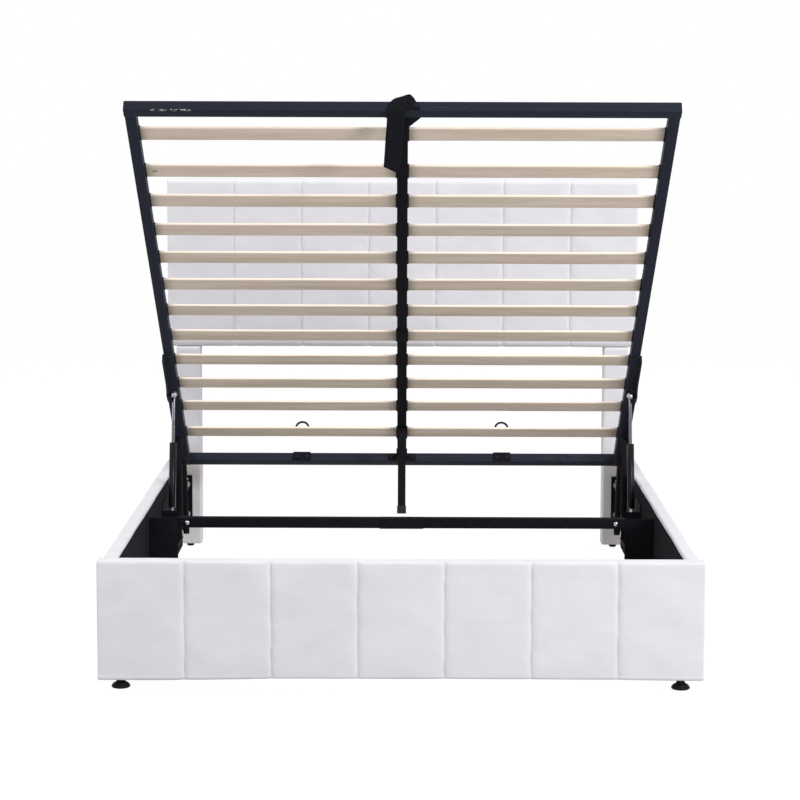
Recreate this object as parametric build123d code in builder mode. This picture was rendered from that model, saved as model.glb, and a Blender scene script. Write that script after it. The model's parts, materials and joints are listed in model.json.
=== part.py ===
from build123d import *
from math import atan2, cos, degrees, hypot, radians, sin
import os

os.makedirs("parts", exist_ok=True)

# An upholstered ottoman storage bed with its slatted deck raised on a sprung lift.
# X runs across the bed, +Y points to the headboard and +Z is up. The origin is on the
# floor under the middle of the bed. All lengths are in millimetres.

# Whole bed
bed_length = 2150.0
frame_bottom = 31.0
frame_top = 346.0
well_width = 1500.0
overrun = 1.0

# Headboard
headboard_overhang = 17.0
headboard_thickness = 80.0
headboard_bottom = 703.0
headboard_top = 1282.0
headboard_front_foam = 34.0
headboard_back_foam = 10.0
headboard_edge_foam = 12.0
headboard_under_cloth = 6.0
headboard_channels = 7
headboard_crown = 9.0
headboard_round = 22.0
leg_width = 85.0
leg_setback = 10.0
leg_round = 7.0
tenon_width = 58.0
tenon_length = 150.0
tenon_inset = 3.0

# Footboard
footboard_overhang = 10.0
footboard_thickness = 50.0
footboard_front_foam = 16.0
footboard_back_cloth = 4.0
footboard_edge_foam = 8.0
footboard_under_cloth = 4.0
footboard_channels = 7
footboard_crown = 5.0
footboard_round = 10.0

# Side rails, from the well outwards
lining_thickness = 2.0
batten_thickness = 12.0
rail_board = 18.0
rail_foam = 8.0
batten_stop = 130.0

# Feet
foot_radius = 25.0
foot_disc = 9.0
foot_chamfer = 3.0
foot_stem_radius = 10.0
foot_screw_radius = 4.0
foot_screw_length = 24.0
foot_from_side = 58.0
glide_height = 13.0
glide_radius = 13.0
glide_chamfer = 3.0
glide_nail_radius = 2.5
glide_nail_length = 22.0

# Bolts and screws
bolt_radius = 4.0
bolt_head_radius = 8.0
bolt_head = 4.0
bolt_bite = 22.0
bolt_sides = 6
screw_radius = 2.0
screw_head_radius = 4.0
screw_head = 2.0
screw_bite = 16.0

# Keyhole plates on the headboard legs
keyhole_plate_width = 37.0
keyhole_plate_bottom = 92.0
keyhole_plate_top = 254.0
keyhole_radius = 12.0
keyhole_slot = 10.0
keyhole_drop = 20.0
keyhole_tongue = 6.0
keyhole_from_top = 31.0
keyhole_pitch = 104.0
keyhole_screw_rise = 17.0

# Brackets that fix things to the rails
bracket_plate = 3.0
corner_leg = 40.0
corner_bottom = 90.0
corner_top = 290.0

# Square steel tube of the deck and of the crossbar
tube = 30.0
tube_wall = 1.5

# Crossbar across the well
crossbar_from_head = 1220.0
crossbar_gap = 0.5
crossbar_sleeve_length = 130.0
crossbar_tongue = 55.0
crossbar_tongue_play = 0.2
crossbar_plate_width = 86.0
crossbar_plate_bottom = 90.0
crossbar_flange = 42.0
crossbar_bolt_rise = 40.0

# Deck frame, first laid level and then raised
deck_end_gap = 15.0
deck_side_gap = 10.0
deck_top_margin = 1.0
lift_angle = 36.7
open_shift = 245.0
open_rise = 15.0
cap_flange = 2.0
cap_plug = 15.0

# Slats and their holders, measured from the deck's head edge
slat_width = 55.0
slat_thickness = 8.0
slat_chamfer = 2.0
slat_height = 14.0
slat_first = 200.0
slat_last_from_foot = 128.0
slat_end_pitch = 174.0
slat_middle_rows = 10
slat_fit = 0.2
holder_depth = 3.5
holder_back = 1.5
holder_wall = 1.0

# Joint in the centre bar, and the brackets at its ends
splice_from_head = 840.0
splice_length = 65.0
splice_side = 9.0
splice_plate = 2.0
ear_reach = 28.0
ear_cheek = 40.0
gusset_reach = 30.0
gusset_length = 40.0

# Centre support leg and its clamp
centre_leg_from_head = 245.0
centre_leg_size = 25.0
centre_leg_wall = 1.5
centre_leg_floor_gap = 15.0
shoe_height = 14.0
shoe_wall = 2.0
shoe_sole = 5.0
leg_clamp_length = 68.0
leg_clamp_offset = 21.0
leg_clamp_side = 9.0

# Mattress retainers: hoops on the slats nearest the head, plates on the head bar
retainer_from_centre = 335.0
retainer_width = 47.0
retainer_rod = 7.0
retainer_rod_sides = 6
retainer_height = 57.0
hoop_from_centre = 328.0
retainer_plate_width = 58.0
retainer_bolt_pitch = 35.0

# Pull strap on the foot bar
strap_width = 48.0
strap_thickness = 3.0
strap_fixed_left = 8.0
strap_fixed_bottom = 3.0
strap_crest = 46.0
strap_fold_left = -31.0
strap_fold_width = 40.0
strap_edge_left = -41.0
strap_end_left = -54.0
strap_end_width = 38.0
strap_hang = 155.0
strap_end_slant = 19.0

# Lift linkage: the deck's pivots are measured from its head edge and underside
rear_pivot_from_head = 40.0
rear_pivot_drop = 22.0
front_pivot_from_head = 217.0
front_pivot_drop = 25.0
strut_pivot_from_head = 523.0
strut_pivot_drop = 28.0
rear_base_height = 100.0
front_base_height = 200.0
strut_base_from_head = 775.0
strut_base_height = 253.0
pivot_radius = 5.0
pivot_clearance = 0.05
pivot_head_radius = 9.0
pivot_head = 4.0
open_pivot_gap = 0.3
layer_gap = 1.0

# Link arms
arm_width = 28.0
arm_depth = 19.0
arm_web = 3.0
arm_flange = 2.5

# Lift bases on the rails
lift_base_plate = 3.0
lift_base_gap = 3.0
lift_base_edge = 44.0
lift_base_tail = 90.0
lift_base_top = 292.0
lift_base_bottom = 60.0
lift_base_round = 14.0
lift_flange_width = 62.0
lift_flange_top = 270.0
lift_flange_inner = 186.0
lift_flange_foot = 90.0

# Lift brackets under the deck
lift_bracket_plate = 4.0
lift_bracket_start = 15.0
lift_bracket_length = 710.0
lift_bracket_narrow = 16.0
lift_bracket_wide = 32.0
lift_bracket_step = 440.0
lift_bracket_waist = 26.0
lift_bracket_edge = 14.0

# Gas struts
strut_radius = 11.0
strut_wall = 2.0
strut_body = 205.0
strut_neck = 20.0
strut_guide = 16.0
strut_rod_radius = 5.0
strut_piston = 12.0
strut_piston_play = 0.1
strut_eye_radius = 10.0
strut_eye_width = 12.0
strut_stud_radius = 4.0
strut_boss_radius = 6.0
strut_arm_gap = 2.0

# Places worked out from those sizes
foot_face = -bed_length / 2
head_back = bed_length / 2
well_foot = foot_face + footboard_thickness
well_head = head_back - headboard_thickness
well_length = well_head - well_foot
well_side = well_width / 2
batten_face = well_side + lining_thickness
board_face = batten_face + batten_thickness
board_back = board_face + rail_board
rail_side = board_back + rail_foam
headboard_width = 2 * (rail_side + headboard_overhang)
footboard_width = 2 * (rail_side + footboard_overhang)
board_top = frame_top - rail_foam
batten_end = well_head - batten_stop

deck_length = well_length - 2 * deck_end_gap
deck_width = well_width - 2 * deck_side_gap
deck_side = deck_width / 2
deck_inner = deck_side - tube
foot_bar_face = -(deck_length - tube)
deck_shut_y = well_head - deck_end_gap
deck_shut_z = frame_top - deck_top_margin - tube
deck_open_y = deck_shut_y - open_shift
deck_open_z = deck_shut_z + open_rise
tilt_sin = sin(radians(lift_angle))
tilt_cos = cos(radians(lift_angle))

# The raised deck's own frame: x across, y towards its head edge, z out of its top
deck = Plane(origin=(0, deck_open_y, deck_open_z), x_dir=(1, 0, 0), z_dir=(0, tilt_sin, tilt_cos))

# The lift's layers across the bed, from the rail inwards
base_face = well_side - lift_base_plate
bracket_back = base_face - lift_base_gap
bracket_face = bracket_back - lift_bracket_plate
arm_back = bracket_face - layer_gap
arm_front = arm_back - arm_depth
web_face = arm_back - arm_web
strut_x = web_face - strut_arm_gap - strut_radius
eye_back = strut_x + strut_eye_width / 2
eye_front = strut_x - strut_eye_width / 2


def level(height):
    """A level plane: its sketch axes are x and y."""
    return Plane.XY.offset(height)


def upright(distance):
    """A plane across the bed at this y: its sketch axes are x and z, its normal is -y."""
    return Plane.XZ.offset(-distance)


def lengthwise(distance):
    """A plane along the bed at this x: its sketch axes are y and z, its normal is +x."""
    return Plane.YZ.offset(distance)


def on_deck(plane):
    """The same plane, carried up with the raised deck."""
    return Plane(deck.location * plane.location)


def raised(point):
    """Where a (y, z) point of the level deck lies when the deck is open."""
    y, z = point
    return deck_open_y + y * tilt_cos + z * tilt_sin, deck_open_z - y * tilt_sin + z * tilt_cos


def shut(point):
    """Where a (y, z) point of the level deck lies when the deck is closed."""
    y, z = point
    return deck_shut_y + y, deck_shut_z + z


def base_pivot(point, height):
    """The base pivot at this height whose arm reaches a deck point both open and closed.

    It lies where the perpendicular bisector of the two places crosses the height.
    """
    (open_y, open_z), (shut_y, shut_z) = raised(point), shut(point)
    steepness = (shut_z - open_z) / (shut_y - open_y)
    return (open_y + shut_y) / 2 + ((open_z + shut_z) / 2 - height) * steepness, height


def reach(start, end):
    """The distance between two (y, z) points."""
    return hypot(end[0] - start[0], end[1] - start[1])


rear_deck_pivot = (-rear_pivot_from_head, -rear_pivot_drop)
front_deck_pivot = (-front_pivot_from_head, -front_pivot_drop)
strut_deck_pivot = (-strut_pivot_from_head, -strut_pivot_drop)
rear_base = base_pivot(rear_deck_pivot, rear_base_height)
front_base = base_pivot(front_deck_pivot, front_base_height)
strut_base = (deck_shut_y - strut_base_from_head, strut_base_height)
rear_top = raised(rear_deck_pivot)
front_top = raised(front_deck_pivot)
strut_top = raised(strut_deck_pivot)
strut_open = reach(strut_base, strut_top)
strut_shut = reach(strut_base, shut(strut_deck_pivot))
print("strut open", round(strut_open, 1), "shut", round(strut_shut, 1))


def save(piece, name):
    """Label a finished piece and write it as a file of the same name."""
    piece.label = name
    export_step(piece, f"parts/{name}.step")


def save_pair(right_piece, name):
    """Write a right-hand piece, and its mirror image for the left."""
    with BuildPart() as left_piece:
        mirror(right_piece, about=Plane.YZ)
    save(right_piece, f"{name}_right")
    save(left_piece.part, f"{name}_left")


def both_sides(right_group):
    """A right-hand group of pieces together with its mirror image."""
    with BuildPart() as group:
        add(right_group)
        mirror(right_group, about=Plane.YZ)
    return group.part


def channelled_outline(width, channels, front, back, crown):
    """A padded board from above: one shallow arc for each sewn channel."""
    pitch = width / channels
    seam = front + crown
    with BuildSketch() as outline:
        with BuildLine():
            for channel in range(channels):
                start = -width / 2 + channel * pitch
                ThreePointArc((start, seam), (start + pitch / 2, front), (start + pitch, seam))
            Polyline((width / 2, seam), (width / 2, back), (-width / 2, back), (-width / 2, seam))
        make_face()
    return outline.sketch


def turned(place, *steps):
    """Round steps along x through a (y, z) place, each from one x to another with a radius."""
    with BuildPart() as pin:
        for start, end, radius in steps:
            with BuildSketch(lengthwise(start)):
                with Locations(place):
                    Circle(radius)
            extrude(amount=end - start)
    return pin.part


def hexed(place, *steps):
    """Steps like those of turned, but six-sided, as bolt heads and nuts are."""
    with BuildPart() as head:
        for start, end, radius in steps:
            with BuildSketch(lengthwise(start)):
                with Locations(place):
                    RegularPolygon(radius, side_count=bolt_sides)
            extrude(amount=end - start)
    return head.part


# Fasteners of the frame, made first because their holes are cut with them
crossbar_y = well_head - crossbar_from_head
crossbar_top = deck_shut_z - crossbar_gap
crossbar_mid = crossbar_top - tube / 2
crossbar_end = well_side - crossbar_plate_width
crossbar_bolt_x = crossbar_end - crossbar_tongue / 2
crossbar_bolt_y = crossbar_y + bracket_plate + crossbar_flange / 2
corner_bolt_heights = [corner_bottom + corner_leg, corner_top - corner_leg]
footboard_bolt_x = well_side - bracket_plate - corner_leg / 2
corner_places = [(well_foot + corner_leg / 2, height) for height in corner_bolt_heights]
crossbar_places = [(crossbar_bolt_y, crossbar_plate_bottom + crossbar_bolt_rise),
                   (crossbar_bolt_y, crossbar_top - 2 * crossbar_bolt_rise)]
lift_base_places = [
    (strut_base[0] + lift_base_edge, strut_base_height - 2 * lift_base_edge),
    (front_base[0] - 2 * lift_base_edge, front_base_height - lift_base_edge / 2),
    (rear_base[0] - lift_base_edge, rear_base_height + lift_base_edge / 2),
    (rear_base[0] + lift_base_edge, rear_base_height - lift_base_edge / 2),
]
plate_front = well_head - bracket_plate
tab_face = board_face - bracket_plate
keyhole_x = board_face - keyhole_plate_width / 2
keyhole_heights = [keyhole_plate_top - keyhole_from_top,
                   keyhole_plate_top - keyhole_from_top - keyhole_pitch]

with BuildPart() as fasteners:
    for end, radius in ((-bolt_head, bolt_head_radius), (bolt_bite, bolt_radius)):
        with BuildSketch(lengthwise(well_side - bracket_plate)):
            with Locations(*(corner_places + crossbar_places)):
                RegularPolygon(radius, side_count=bolt_sides)
        extrude(amount=end)
        with BuildSketch(lengthwise(base_face)):
            with Locations(*lift_base_places):
                RegularPolygon(radius, side_count=bolt_sides)
        extrude(amount=end)
        with BuildSketch(upright(well_foot + bracket_plate)):
            with Locations(*[(footboard_bolt_x, height) for height in corner_bolt_heights]):
                RegularPolygon(radius, side_count=bolt_sides)
        extrude(amount=end)
    for end, radius in ((-screw_head, screw_head_radius), (screw_bite, screw_radius)):
        with BuildSketch(upright(plate_front)):
            with Locations(*[(keyhole_x, height + keyhole_screw_rise) for height in keyhole_heights]):
                RegularPolygon(radius, side_count=bolt_sides)
        extrude(amount=-end)
        with BuildSketch(lengthwise(tab_face)):
            with Locations(*[(plate_front - corner_leg / 2, height) for height in keyhole_heights]):
                RegularPolygon(radius, side_count=bolt_sides)
        extrude(amount=end)
    for end, radius in ((bolt_head, bolt_head_radius), (-tube - bolt_head, bolt_radius)):
        with BuildSketch(upright(crossbar_y)):
            with Locations((crossbar_bolt_x, crossbar_mid)):
                RegularPolygon(radius, side_count=bolt_sides)
        extrude(amount=end)
    with BuildSketch(upright(crossbar_y + tube)):
        with Locations((crossbar_bolt_x, crossbar_mid)):
            RegularPolygon(bolt_head_radius, side_count=bolt_sides)
    extrude(amount=-bolt_head)
frame_fasteners = both_sides(fasteners.part)
save(frame_fasteners, "frame_fasteners")

# Headboard: timber board, padded cover with sewn channels, and two padded legs
board_y = well_head + headboard_front_foam
board_back_y = head_back - headboard_back_foam
board_bottom = headboard_bottom + headboard_under_cloth
leg_x = rail_side - leg_setback - leg_width / 2
leg_y = (well_head + board_back_y) / 2

with BuildPart() as leg_tenon:
    with BuildSketch(level(headboard_bottom)):
        with Locations((leg_x, (board_y + board_back_y) / 2)):
            Rectangle(tenon_width, board_back_y - board_y - 2 * tenon_inset)
    extrude(amount=tenon_length)
tenons = both_sides(leg_tenon.part)

with BuildPart() as rear_glide:
    with BuildSketch(lengthwise(leg_x)):
        with BuildLine():
            Polyline((leg_y, 0), (leg_y + glide_radius - glide_chamfer, 0),
                     (leg_y + glide_radius, glide_chamfer), (leg_y + glide_radius, glide_height),
                     (leg_y, glide_height), close=True)
        make_face()
    revolve(axis=Axis((leg_x, leg_y, 0), (0, 0, 1)))
    with BuildSketch(level(glide_height)):
        with Locations((leg_x, leg_y)):
            RegularPolygon(glide_nail_radius, side_count=bolt_sides)
    extrude(amount=glide_nail_length)
save(both_sides(rear_glide.part), "rear_glides")

with BuildPart() as headboard_leg:
    with BuildSketch(level(glide_height)):
        with Locations((leg_x, leg_y)):
            RectangleRounded(leg_width, board_back_y - well_head, leg_round)
    extrude(amount=headboard_bottom - glide_height)
    chamfer(headboard_leg.faces().sort_by(Axis.Z)[0].edges(), leg_round / 2)
    add(leg_tenon.part)
    add(rear_glide.part, mode=Mode.SUBTRACT)
    add(fasteners.part, mode=Mode.SUBTRACT)
save_pair(headboard_leg.part, "headboard_leg")

with BuildPart() as headboard_core:
    with BuildSketch(upright(board_y)):
        with Locations((0, (board_bottom + headboard_top - headboard_edge_foam) / 2)):
            RectangleRounded(headboard_width - 2 * headboard_edge_foam,
                             headboard_top - headboard_edge_foam - board_bottom, headboard_edge_foam)
    extrude(amount=board_y - board_back_y)
    board = headboard_core.part
    add(tenons, mode=Mode.SUBTRACT)
save(headboard_core.part, "headboard_core")

headboard_outline = channelled_outline(headboard_width, headboard_channels, well_head, head_back,
                                       headboard_crown)
with BuildPart() as headboard_cover:
    with BuildSketch(level(headboard_bottom)):
        add(headboard_outline)
    extrude(amount=headboard_top - headboard_bottom)
    ends = headboard_cover.edges().filter_by(Axis.Z).group_by(Axis.X)
    fillet(ends[0] + ends[-1], headboard_crown)
    with BuildSketch(lengthwise(-headboard_width)):
        with Locations(((well_head + head_back) / 2, (headboard_bottom + headboard_top) / 2)):
            RectangleRounded(headboard_thickness, headboard_top - headboard_bottom, headboard_round)
    extrude(amount=2 * headboard_width, mode=Mode.INTERSECT)
    add(board, mode=Mode.SUBTRACT)
    add(tenons, mode=Mode.SUBTRACT)
save(headboard_cover.part, "headboard_cover")

# Footboard: timber board, padded cover with sewn channels, and two round feet
foot_board_y = foot_face + footboard_front_foam
foot_board_back = well_foot - footboard_back_cloth
foot_board_bottom = frame_bottom + footboard_under_cloth
foot_x = footboard_width / 2 - foot_from_side
foot_y = (foot_board_y + foot_board_back) / 2

with BuildPart() as front_foot:
    with BuildSketch(lengthwise(foot_x)):
        with BuildLine():
            Polyline((foot_y, 0), (foot_y + foot_radius - foot_chamfer, 0),
                     (foot_y + foot_radius, foot_chamfer), (foot_y + foot_radius, foot_disc),
                     (foot_y + foot_stem_radius, 2 * foot_disc),
                     (foot_y + foot_stem_radius, frame_bottom), (foot_y, frame_bottom), close=True)
        make_face()
    revolve(axis=Axis((foot_x, foot_y, 0), (0, 0, 1)))
    with BuildSketch(level(frame_bottom)):
        with Locations((foot_x, foot_y)):
            RegularPolygon(foot_screw_radius, side_count=bolt_sides)
    extrude(amount=foot_screw_length)
front_feet = both_sides(front_foot.part)
save(front_feet, "front_feet")

with BuildPart() as footboard_core:
    with BuildSketch(level(foot_board_bottom)):
        with Locations((0, foot_y)):
            Rectangle(footboard_width - 2 * footboard_edge_foam, foot_board_back - foot_board_y)
    extrude(amount=frame_top - footboard_edge_foam - foot_board_bottom)
    board = footboard_core.part
    add(front_feet, mode=Mode.SUBTRACT)
    add(frame_fasteners, mode=Mode.SUBTRACT)
save(footboard_core.part, "footboard_core")

footboard_outline = channelled_outline(footboard_width, footboard_channels, foot_face, well_foot,
                                       footboard_crown)
with BuildPart() as footboard_cover:
    with BuildSketch(level(frame_bottom)):
        add(footboard_outline)
    extrude(amount=frame_top - frame_bottom)
    ends = footboard_cover.edges().filter_by(Axis.Z).group_by(Axis.X)
    fillet(ends[0] + ends[-1], footboard_crown)
    with BuildSketch(lengthwise(-footboard_width)):
        with Locations(((foot_face + well_foot) / 2, (frame_bottom + frame_top) / 2)):
            RectangleRounded(footboard_thickness, frame_top - frame_bottom, footboard_round)
    extrude(amount=2 * footboard_width, mode=Mode.INTERSECT)
    add(board, mode=Mode.SUBTRACT)
    add(front_feet, mode=Mode.SUBTRACT)
    add(frame_fasteners, mode=Mode.SUBTRACT)
save(footboard_cover.part, "footboard_cover")

# Side rails: board with an inner batten, dark lining in the well, padded cover outside
with BuildPart() as side_rail:
    with BuildSketch(upright(well_foot)):
        with Locations((board_face, frame_bottom)):
            Rectangle(rail_board, board_top - frame_bottom, align=(Align.MIN, Align.MIN))
    extrude(amount=-well_length)
    with BuildSketch(upright(well_foot)):
        with Locations((batten_face, frame_bottom)):
            Rectangle(batten_thickness, board_top - frame_bottom, align=(Align.MIN, Align.MIN))
    extrude(amount=well_foot - batten_end)
    add(fasteners.part, mode=Mode.SUBTRACT)
save_pair(side_rail.part, "side_rail")

with BuildPart() as rail_lining:
    with BuildSketch(upright(well_foot)):
        with Locations((well_side, frame_bottom)):
            Rectangle(lining_thickness, board_top - frame_bottom, align=(Align.MIN, Align.MIN))
    extrude(amount=well_foot - batten_end)
    add(fasteners.part, mode=Mode.SUBTRACT)
save_pair(rail_lining.part, "rail_lining")

with BuildPart() as rail_cover:
    with BuildSketch(upright(well_foot)) as rail_section:
        with Locations((well_side, frame_bottom)):
            Rectangle(rail_side - well_side, frame_top - frame_bottom, align=(Align.MIN, Align.MIN))
        fillet(rail_section.vertices().group_by(Axis.Y)[-1], rail_foam / 2)
        with Locations((well_side, frame_bottom)):
            Rectangle(board_back - well_side, board_top - frame_bottom,
                      align=(Align.MIN, Align.MIN), mode=Mode.SUBTRACT)
    extrude(amount=-well_length)
save_pair(rail_cover.part, "rail_cover")

# Keyhole plates that tie the rails to the headboard legs
with BuildPart() as keyhole_plate:
    with BuildSketch(level(keyhole_plate_bottom)):
        with BuildLine():
            Polyline((board_face - keyhole_plate_width, plate_front),
                     (board_face - keyhole_plate_width, well_head), (board_face, well_head),
                     (board_face, plate_front - corner_leg), (tab_face, plate_front - corner_leg),
                     (tab_face, plate_front), close=True)
        make_face()
    extrude(amount=keyhole_plate_top - keyhole_plate_bottom)
    for height in keyhole_heights:
        with BuildSketch(upright(plate_front)):
            with Locations((keyhole_x, height)):
                Circle(keyhole_radius)
            with Locations((keyhole_x, height - keyhole_drop / 2)):
                SlotCenterToCenter(keyhole_drop, keyhole_slot, rotation=90)
            with Locations((keyhole_x, height + keyhole_radius)):
                Rectangle(keyhole_tongue, keyhole_tongue, mode=Mode.SUBTRACT)
        extrude(amount=-bracket_plate, mode=Mode.SUBTRACT)
    add(fasteners.part, mode=Mode.SUBTRACT)
save_pair(keyhole_plate.part, "keyhole_plate")

# Corner brackets between the footboard and the rails
with BuildPart() as corner_bracket:
    with BuildSketch(level(corner_bottom)):
        with BuildLine():
            Polyline((well_side, well_foot), (well_side, well_foot + corner_leg),
                     (well_side - bracket_plate, well_foot + corner_leg),
                     (well_side - bracket_plate, well_foot + bracket_plate),
                     (well_side - bracket_plate - corner_leg, well_foot + bracket_plate),
                     (well_side - bracket_plate - corner_leg, well_foot), close=True)
        make_face()
    extrude(amount=corner_top - corner_bottom)
    add(fasteners.part, mode=Mode.SUBTRACT)
save(both_sides(corner_bracket.part), "corner_brackets")

# Crossbar: two tubes in a centre sleeve, each bolted to a bracket on its rail
bore = tube - 2 * tube_wall
with BuildPart() as crossbar:
    with BuildSketch(lengthwise(0)):
        with Locations((crossbar_y + tube / 2, crossbar_mid)):
            Rectangle(tube, tube)
            Rectangle(bore, bore, mode=Mode.SUBTRACT)
    extrude(amount=crossbar_end)
    add(fasteners.part, mode=Mode.SUBTRACT)
save_pair(crossbar.part, "crossbar")

with BuildPart() as crossbar_sleeve:
    with BuildSketch(lengthwise(-crossbar_sleeve_length / 2)):
        with Locations((crossbar_y + tube / 2, crossbar_top)):
            Rectangle(tube + 2 * tube_wall, tube + tube_wall, align=(Align.CENTER, Align.MAX))
            Rectangle(tube, tube, align=(Align.CENTER, Align.MAX), mode=Mode.SUBTRACT)
    extrude(amount=crossbar_sleeve_length)
save(crossbar_sleeve.part, "crossbar_sleeve")

tongue_size = bore - 2 * crossbar_tongue_play
with BuildPart() as crossbar_bracket:
    with BuildSketch(upright(crossbar_y)):
        with Locations((crossbar_end, crossbar_plate_bottom)):
            Rectangle(crossbar_plate_width, crossbar_top - crossbar_plate_bottom,
                      align=(Align.MIN, Align.MIN))
    extrude(amount=-bracket_plate)
    with BuildSketch(lengthwise(well_side - bracket_plate)):
        with Locations((crossbar_y, crossbar_plate_bottom)):
            Rectangle(crossbar_flange + bracket_plate, crossbar_top - tube - crossbar_plate_bottom,
                      align=(Align.MIN, Align.MIN))
    extrude(amount=bracket_plate)
    with BuildSketch(lengthwise(crossbar_end - crossbar_tongue)):
        with Locations((crossbar_y + tube / 2, crossbar_mid)):
            Rectangle(tongue_size, tongue_size)
    extrude(amount=crossbar_tongue + bracket_plate)
    add(fasteners.part, mode=Mode.SUBTRACT)
save_pair(crossbar_bracket.part, "crossbar_bracket")

# Lift bases: a plate on each rail, folded across the well at its foot end
inner_head = web_face - layer_gap / 2
with BuildPart() as base_pins:
    for place in (rear_base, front_base):
        add(hexed(place, (well_side, arm_back + layer_gap / 2, pivot_head_radius),
                  (inner_head, inner_head - pivot_head, pivot_head_radius)))
        add(turned(place, (arm_back + layer_gap / 2, inner_head, pivot_radius)))
    add(hexed(strut_base, (well_side, eye_back + layer_gap / 2, strut_boss_radius),
              (eye_front - layer_gap / 2, eye_front - layer_gap / 2 - pivot_head,
               strut_boss_radius)))
    add(turned(strut_base, (eye_back + layer_gap / 2, eye_front - layer_gap / 2, strut_stud_radius)))
save(both_sides(base_pins.part), "base_pivot_pins")

base_start = strut_base[0] - lift_base_edge
base_end = rear_base[0] + lift_base_tail
with BuildPart() as lift_base:
    with BuildSketch(lengthwise(base_face)) as base_outline:
        with BuildLine():
            Polyline((base_start, lift_flange_foot), (base_start, lift_base_top),
                     (strut_base[0] + 2 * lift_base_edge, lift_base_top),
                     (front_base[0], front_base_height + lift_base_edge),
                     (base_end, rear_base_height + lift_base_edge), (base_end, lift_base_bottom),
                     (front_base[0], lift_base_bottom), close=True)
        make_face()
        fillet(base_outline.vertices(), lift_base_round)
    extrude(amount=lift_base_plate)
    with BuildSketch(upright(base_start)) as flange_outline:
        with BuildLine():
            Polyline((well_side, lift_flange_foot), (well_side, lift_flange_top),
                     (well_side - lift_flange_width, lift_flange_top),
                     (well_side - lift_flange_width, lift_flange_inner), close=True)
        make_face()
        fillet(flange_outline.vertices().sort_by(Axis.X)[0:2], lift_base_round / 2)
    extrude(amount=-lift_base_plate)
    add(fasteners.part, mode=Mode.SUBTRACT)
    add(base_pins.part, mode=Mode.SUBTRACT)
save_pair(lift_base.part, "lift_base")


def link_arm(start, end):
    """A pressed arm between two pivots: a rounded tray with a bore at each end."""
    length = reach(start, end)
    middle = ((start[0] + end[0]) / 2, (start[1] + end[1]) / 2)
    angle = degrees(atan2(end[1] - start[1], end[0] - start[0]))
    with BuildPart() as arm:
        with BuildSketch(lengthwise(arm_front)):
            with Locations(middle):
                SlotCenterToCenter(length, arm_width, rotation=angle)
        extrude(amount=arm_depth)
        with BuildSketch(lengthwise(arm_front)):
            with Locations(middle):
                SlotCenterToCenter(length, arm_width - 2 * arm_flange, rotation=angle)
        extrude(amount=arm_depth - arm_web, mode=Mode.SUBTRACT)
        with BuildSketch(lengthwise(arm_back)):
            with Locations(start, end):
                Circle(pivot_radius + pivot_clearance)
        extrude(amount=-arm_depth, mode=Mode.SUBTRACT)
    return arm.part


save_pair(link_arm(rear_base, rear_top), "rear_arm")
save_pair(link_arm(front_base, front_top), "front_arm")

# Top bolts of the front arms: they stop short of the deck, where the loop is open
with BuildPart() as arm_bolt:
    add(turned(front_top, (bracket_face - open_pivot_gap, web_face, pivot_radius)))
    add(hexed(front_top, (web_face, web_face - pivot_head, pivot_head_radius)))
save(both_sides(arm_bolt.part), "front_arm_bolts")

# Gas struts: tube with its rod guide and lower eye, rod with its piston and upper eye
strut_dir = (0, (strut_top[0] - strut_base[0]) / strut_open, (strut_top[1] - strut_base[1]) / strut_open)
strut_axis = Plane(origin=(strut_x, *strut_base), x_dir=(1, 0, 0), z_dir=strut_dir)
bore_radius = strut_radius - strut_wall
tube_end = strut_neck + strut_body
piston_start = tube_end - strut_guide - strut_wall - strut_piston

with BuildPart() as strut_tube:
    with BuildSketch(strut_axis.offset(strut_neck)):
        Circle(strut_radius)
    extrude(amount=strut_body)
    with BuildSketch(strut_axis.offset(strut_neck + strut_wall)):
        Circle(bore_radius)
    extrude(amount=strut_body - strut_wall - strut_guide, mode=Mode.SUBTRACT)
    with BuildSketch(strut_axis.offset(tube_end)):
        Circle(strut_rod_radius + pivot_clearance)
    extrude(amount=-(strut_guide + overrun), mode=Mode.SUBTRACT)
save_pair(strut_tube.part, "strut_tube")

with BuildPart() as lower_eye:
    with BuildSketch(lengthwise(eye_front)):
        with Locations(strut_base):
            Circle(strut_eye_radius)
    extrude(amount=strut_eye_width)
    with BuildSketch(strut_axis):
        RegularPolygon(strut_rod_radius, side_count=bolt_sides)
    extrude(amount=strut_neck)
    with BuildSketch(lengthwise(eye_front)):
        with Locations(strut_base):
            Circle(strut_stud_radius + pivot_clearance)
    extrude(amount=strut_eye_width, mode=Mode.SUBTRACT)
save(both_sides(lower_eye.part), "strut_lower_eyes")

with BuildPart() as upper_eye:
    add(turned(strut_top, (eye_front, eye_back, strut_eye_radius)))
    add(hexed(strut_top, (eye_front, eye_front - pivot_head, strut_boss_radius)))
save(both_sides(upper_eye.part), "strut_upper_eyes")

with BuildPart() as strut_rod:
    with BuildSketch(strut_axis.offset(piston_start)):
        Circle(bore_radius - strut_piston_play)
    extrude(amount=strut_piston)
    with BuildSketch(strut_axis.offset(piston_start)):
        Circle(strut_rod_radius)
    extrude(amount=strut_open - strut_eye_radius / 2 - piston_start)
    add(upper_eye.part, mode=Mode.SUBTRACT)
save_pair(strut_rod.part, "strut_rod")

# Fasteners of the deck, made first because their holes are cut with them
lift_bolt_x = bracket_back - lift_bracket_wide + bolt_head_radius + layer_gap
lift_bolt_ys = [-(lift_bracket_start + lift_bracket_length - 2 * lift_bracket_edge),
                -(lift_bracket_step + lift_bracket_edge + lift_base_edge)]
head_bolt_xs = [retainer_from_centre - retainer_bolt_pitch / 2,
                retainer_from_centre + retainer_bolt_pitch / 2,
                tube / 2 + bracket_plate + ear_reach / 2]
small_head_radius = bolt_head_radius * 3 / 4
thread = bracket_plate + tube_wall + bolt_head
strap_face = foot_bar_face - tube
strap_bolt_x = strap_fixed_left + strap_width * 3 / 5

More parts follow.
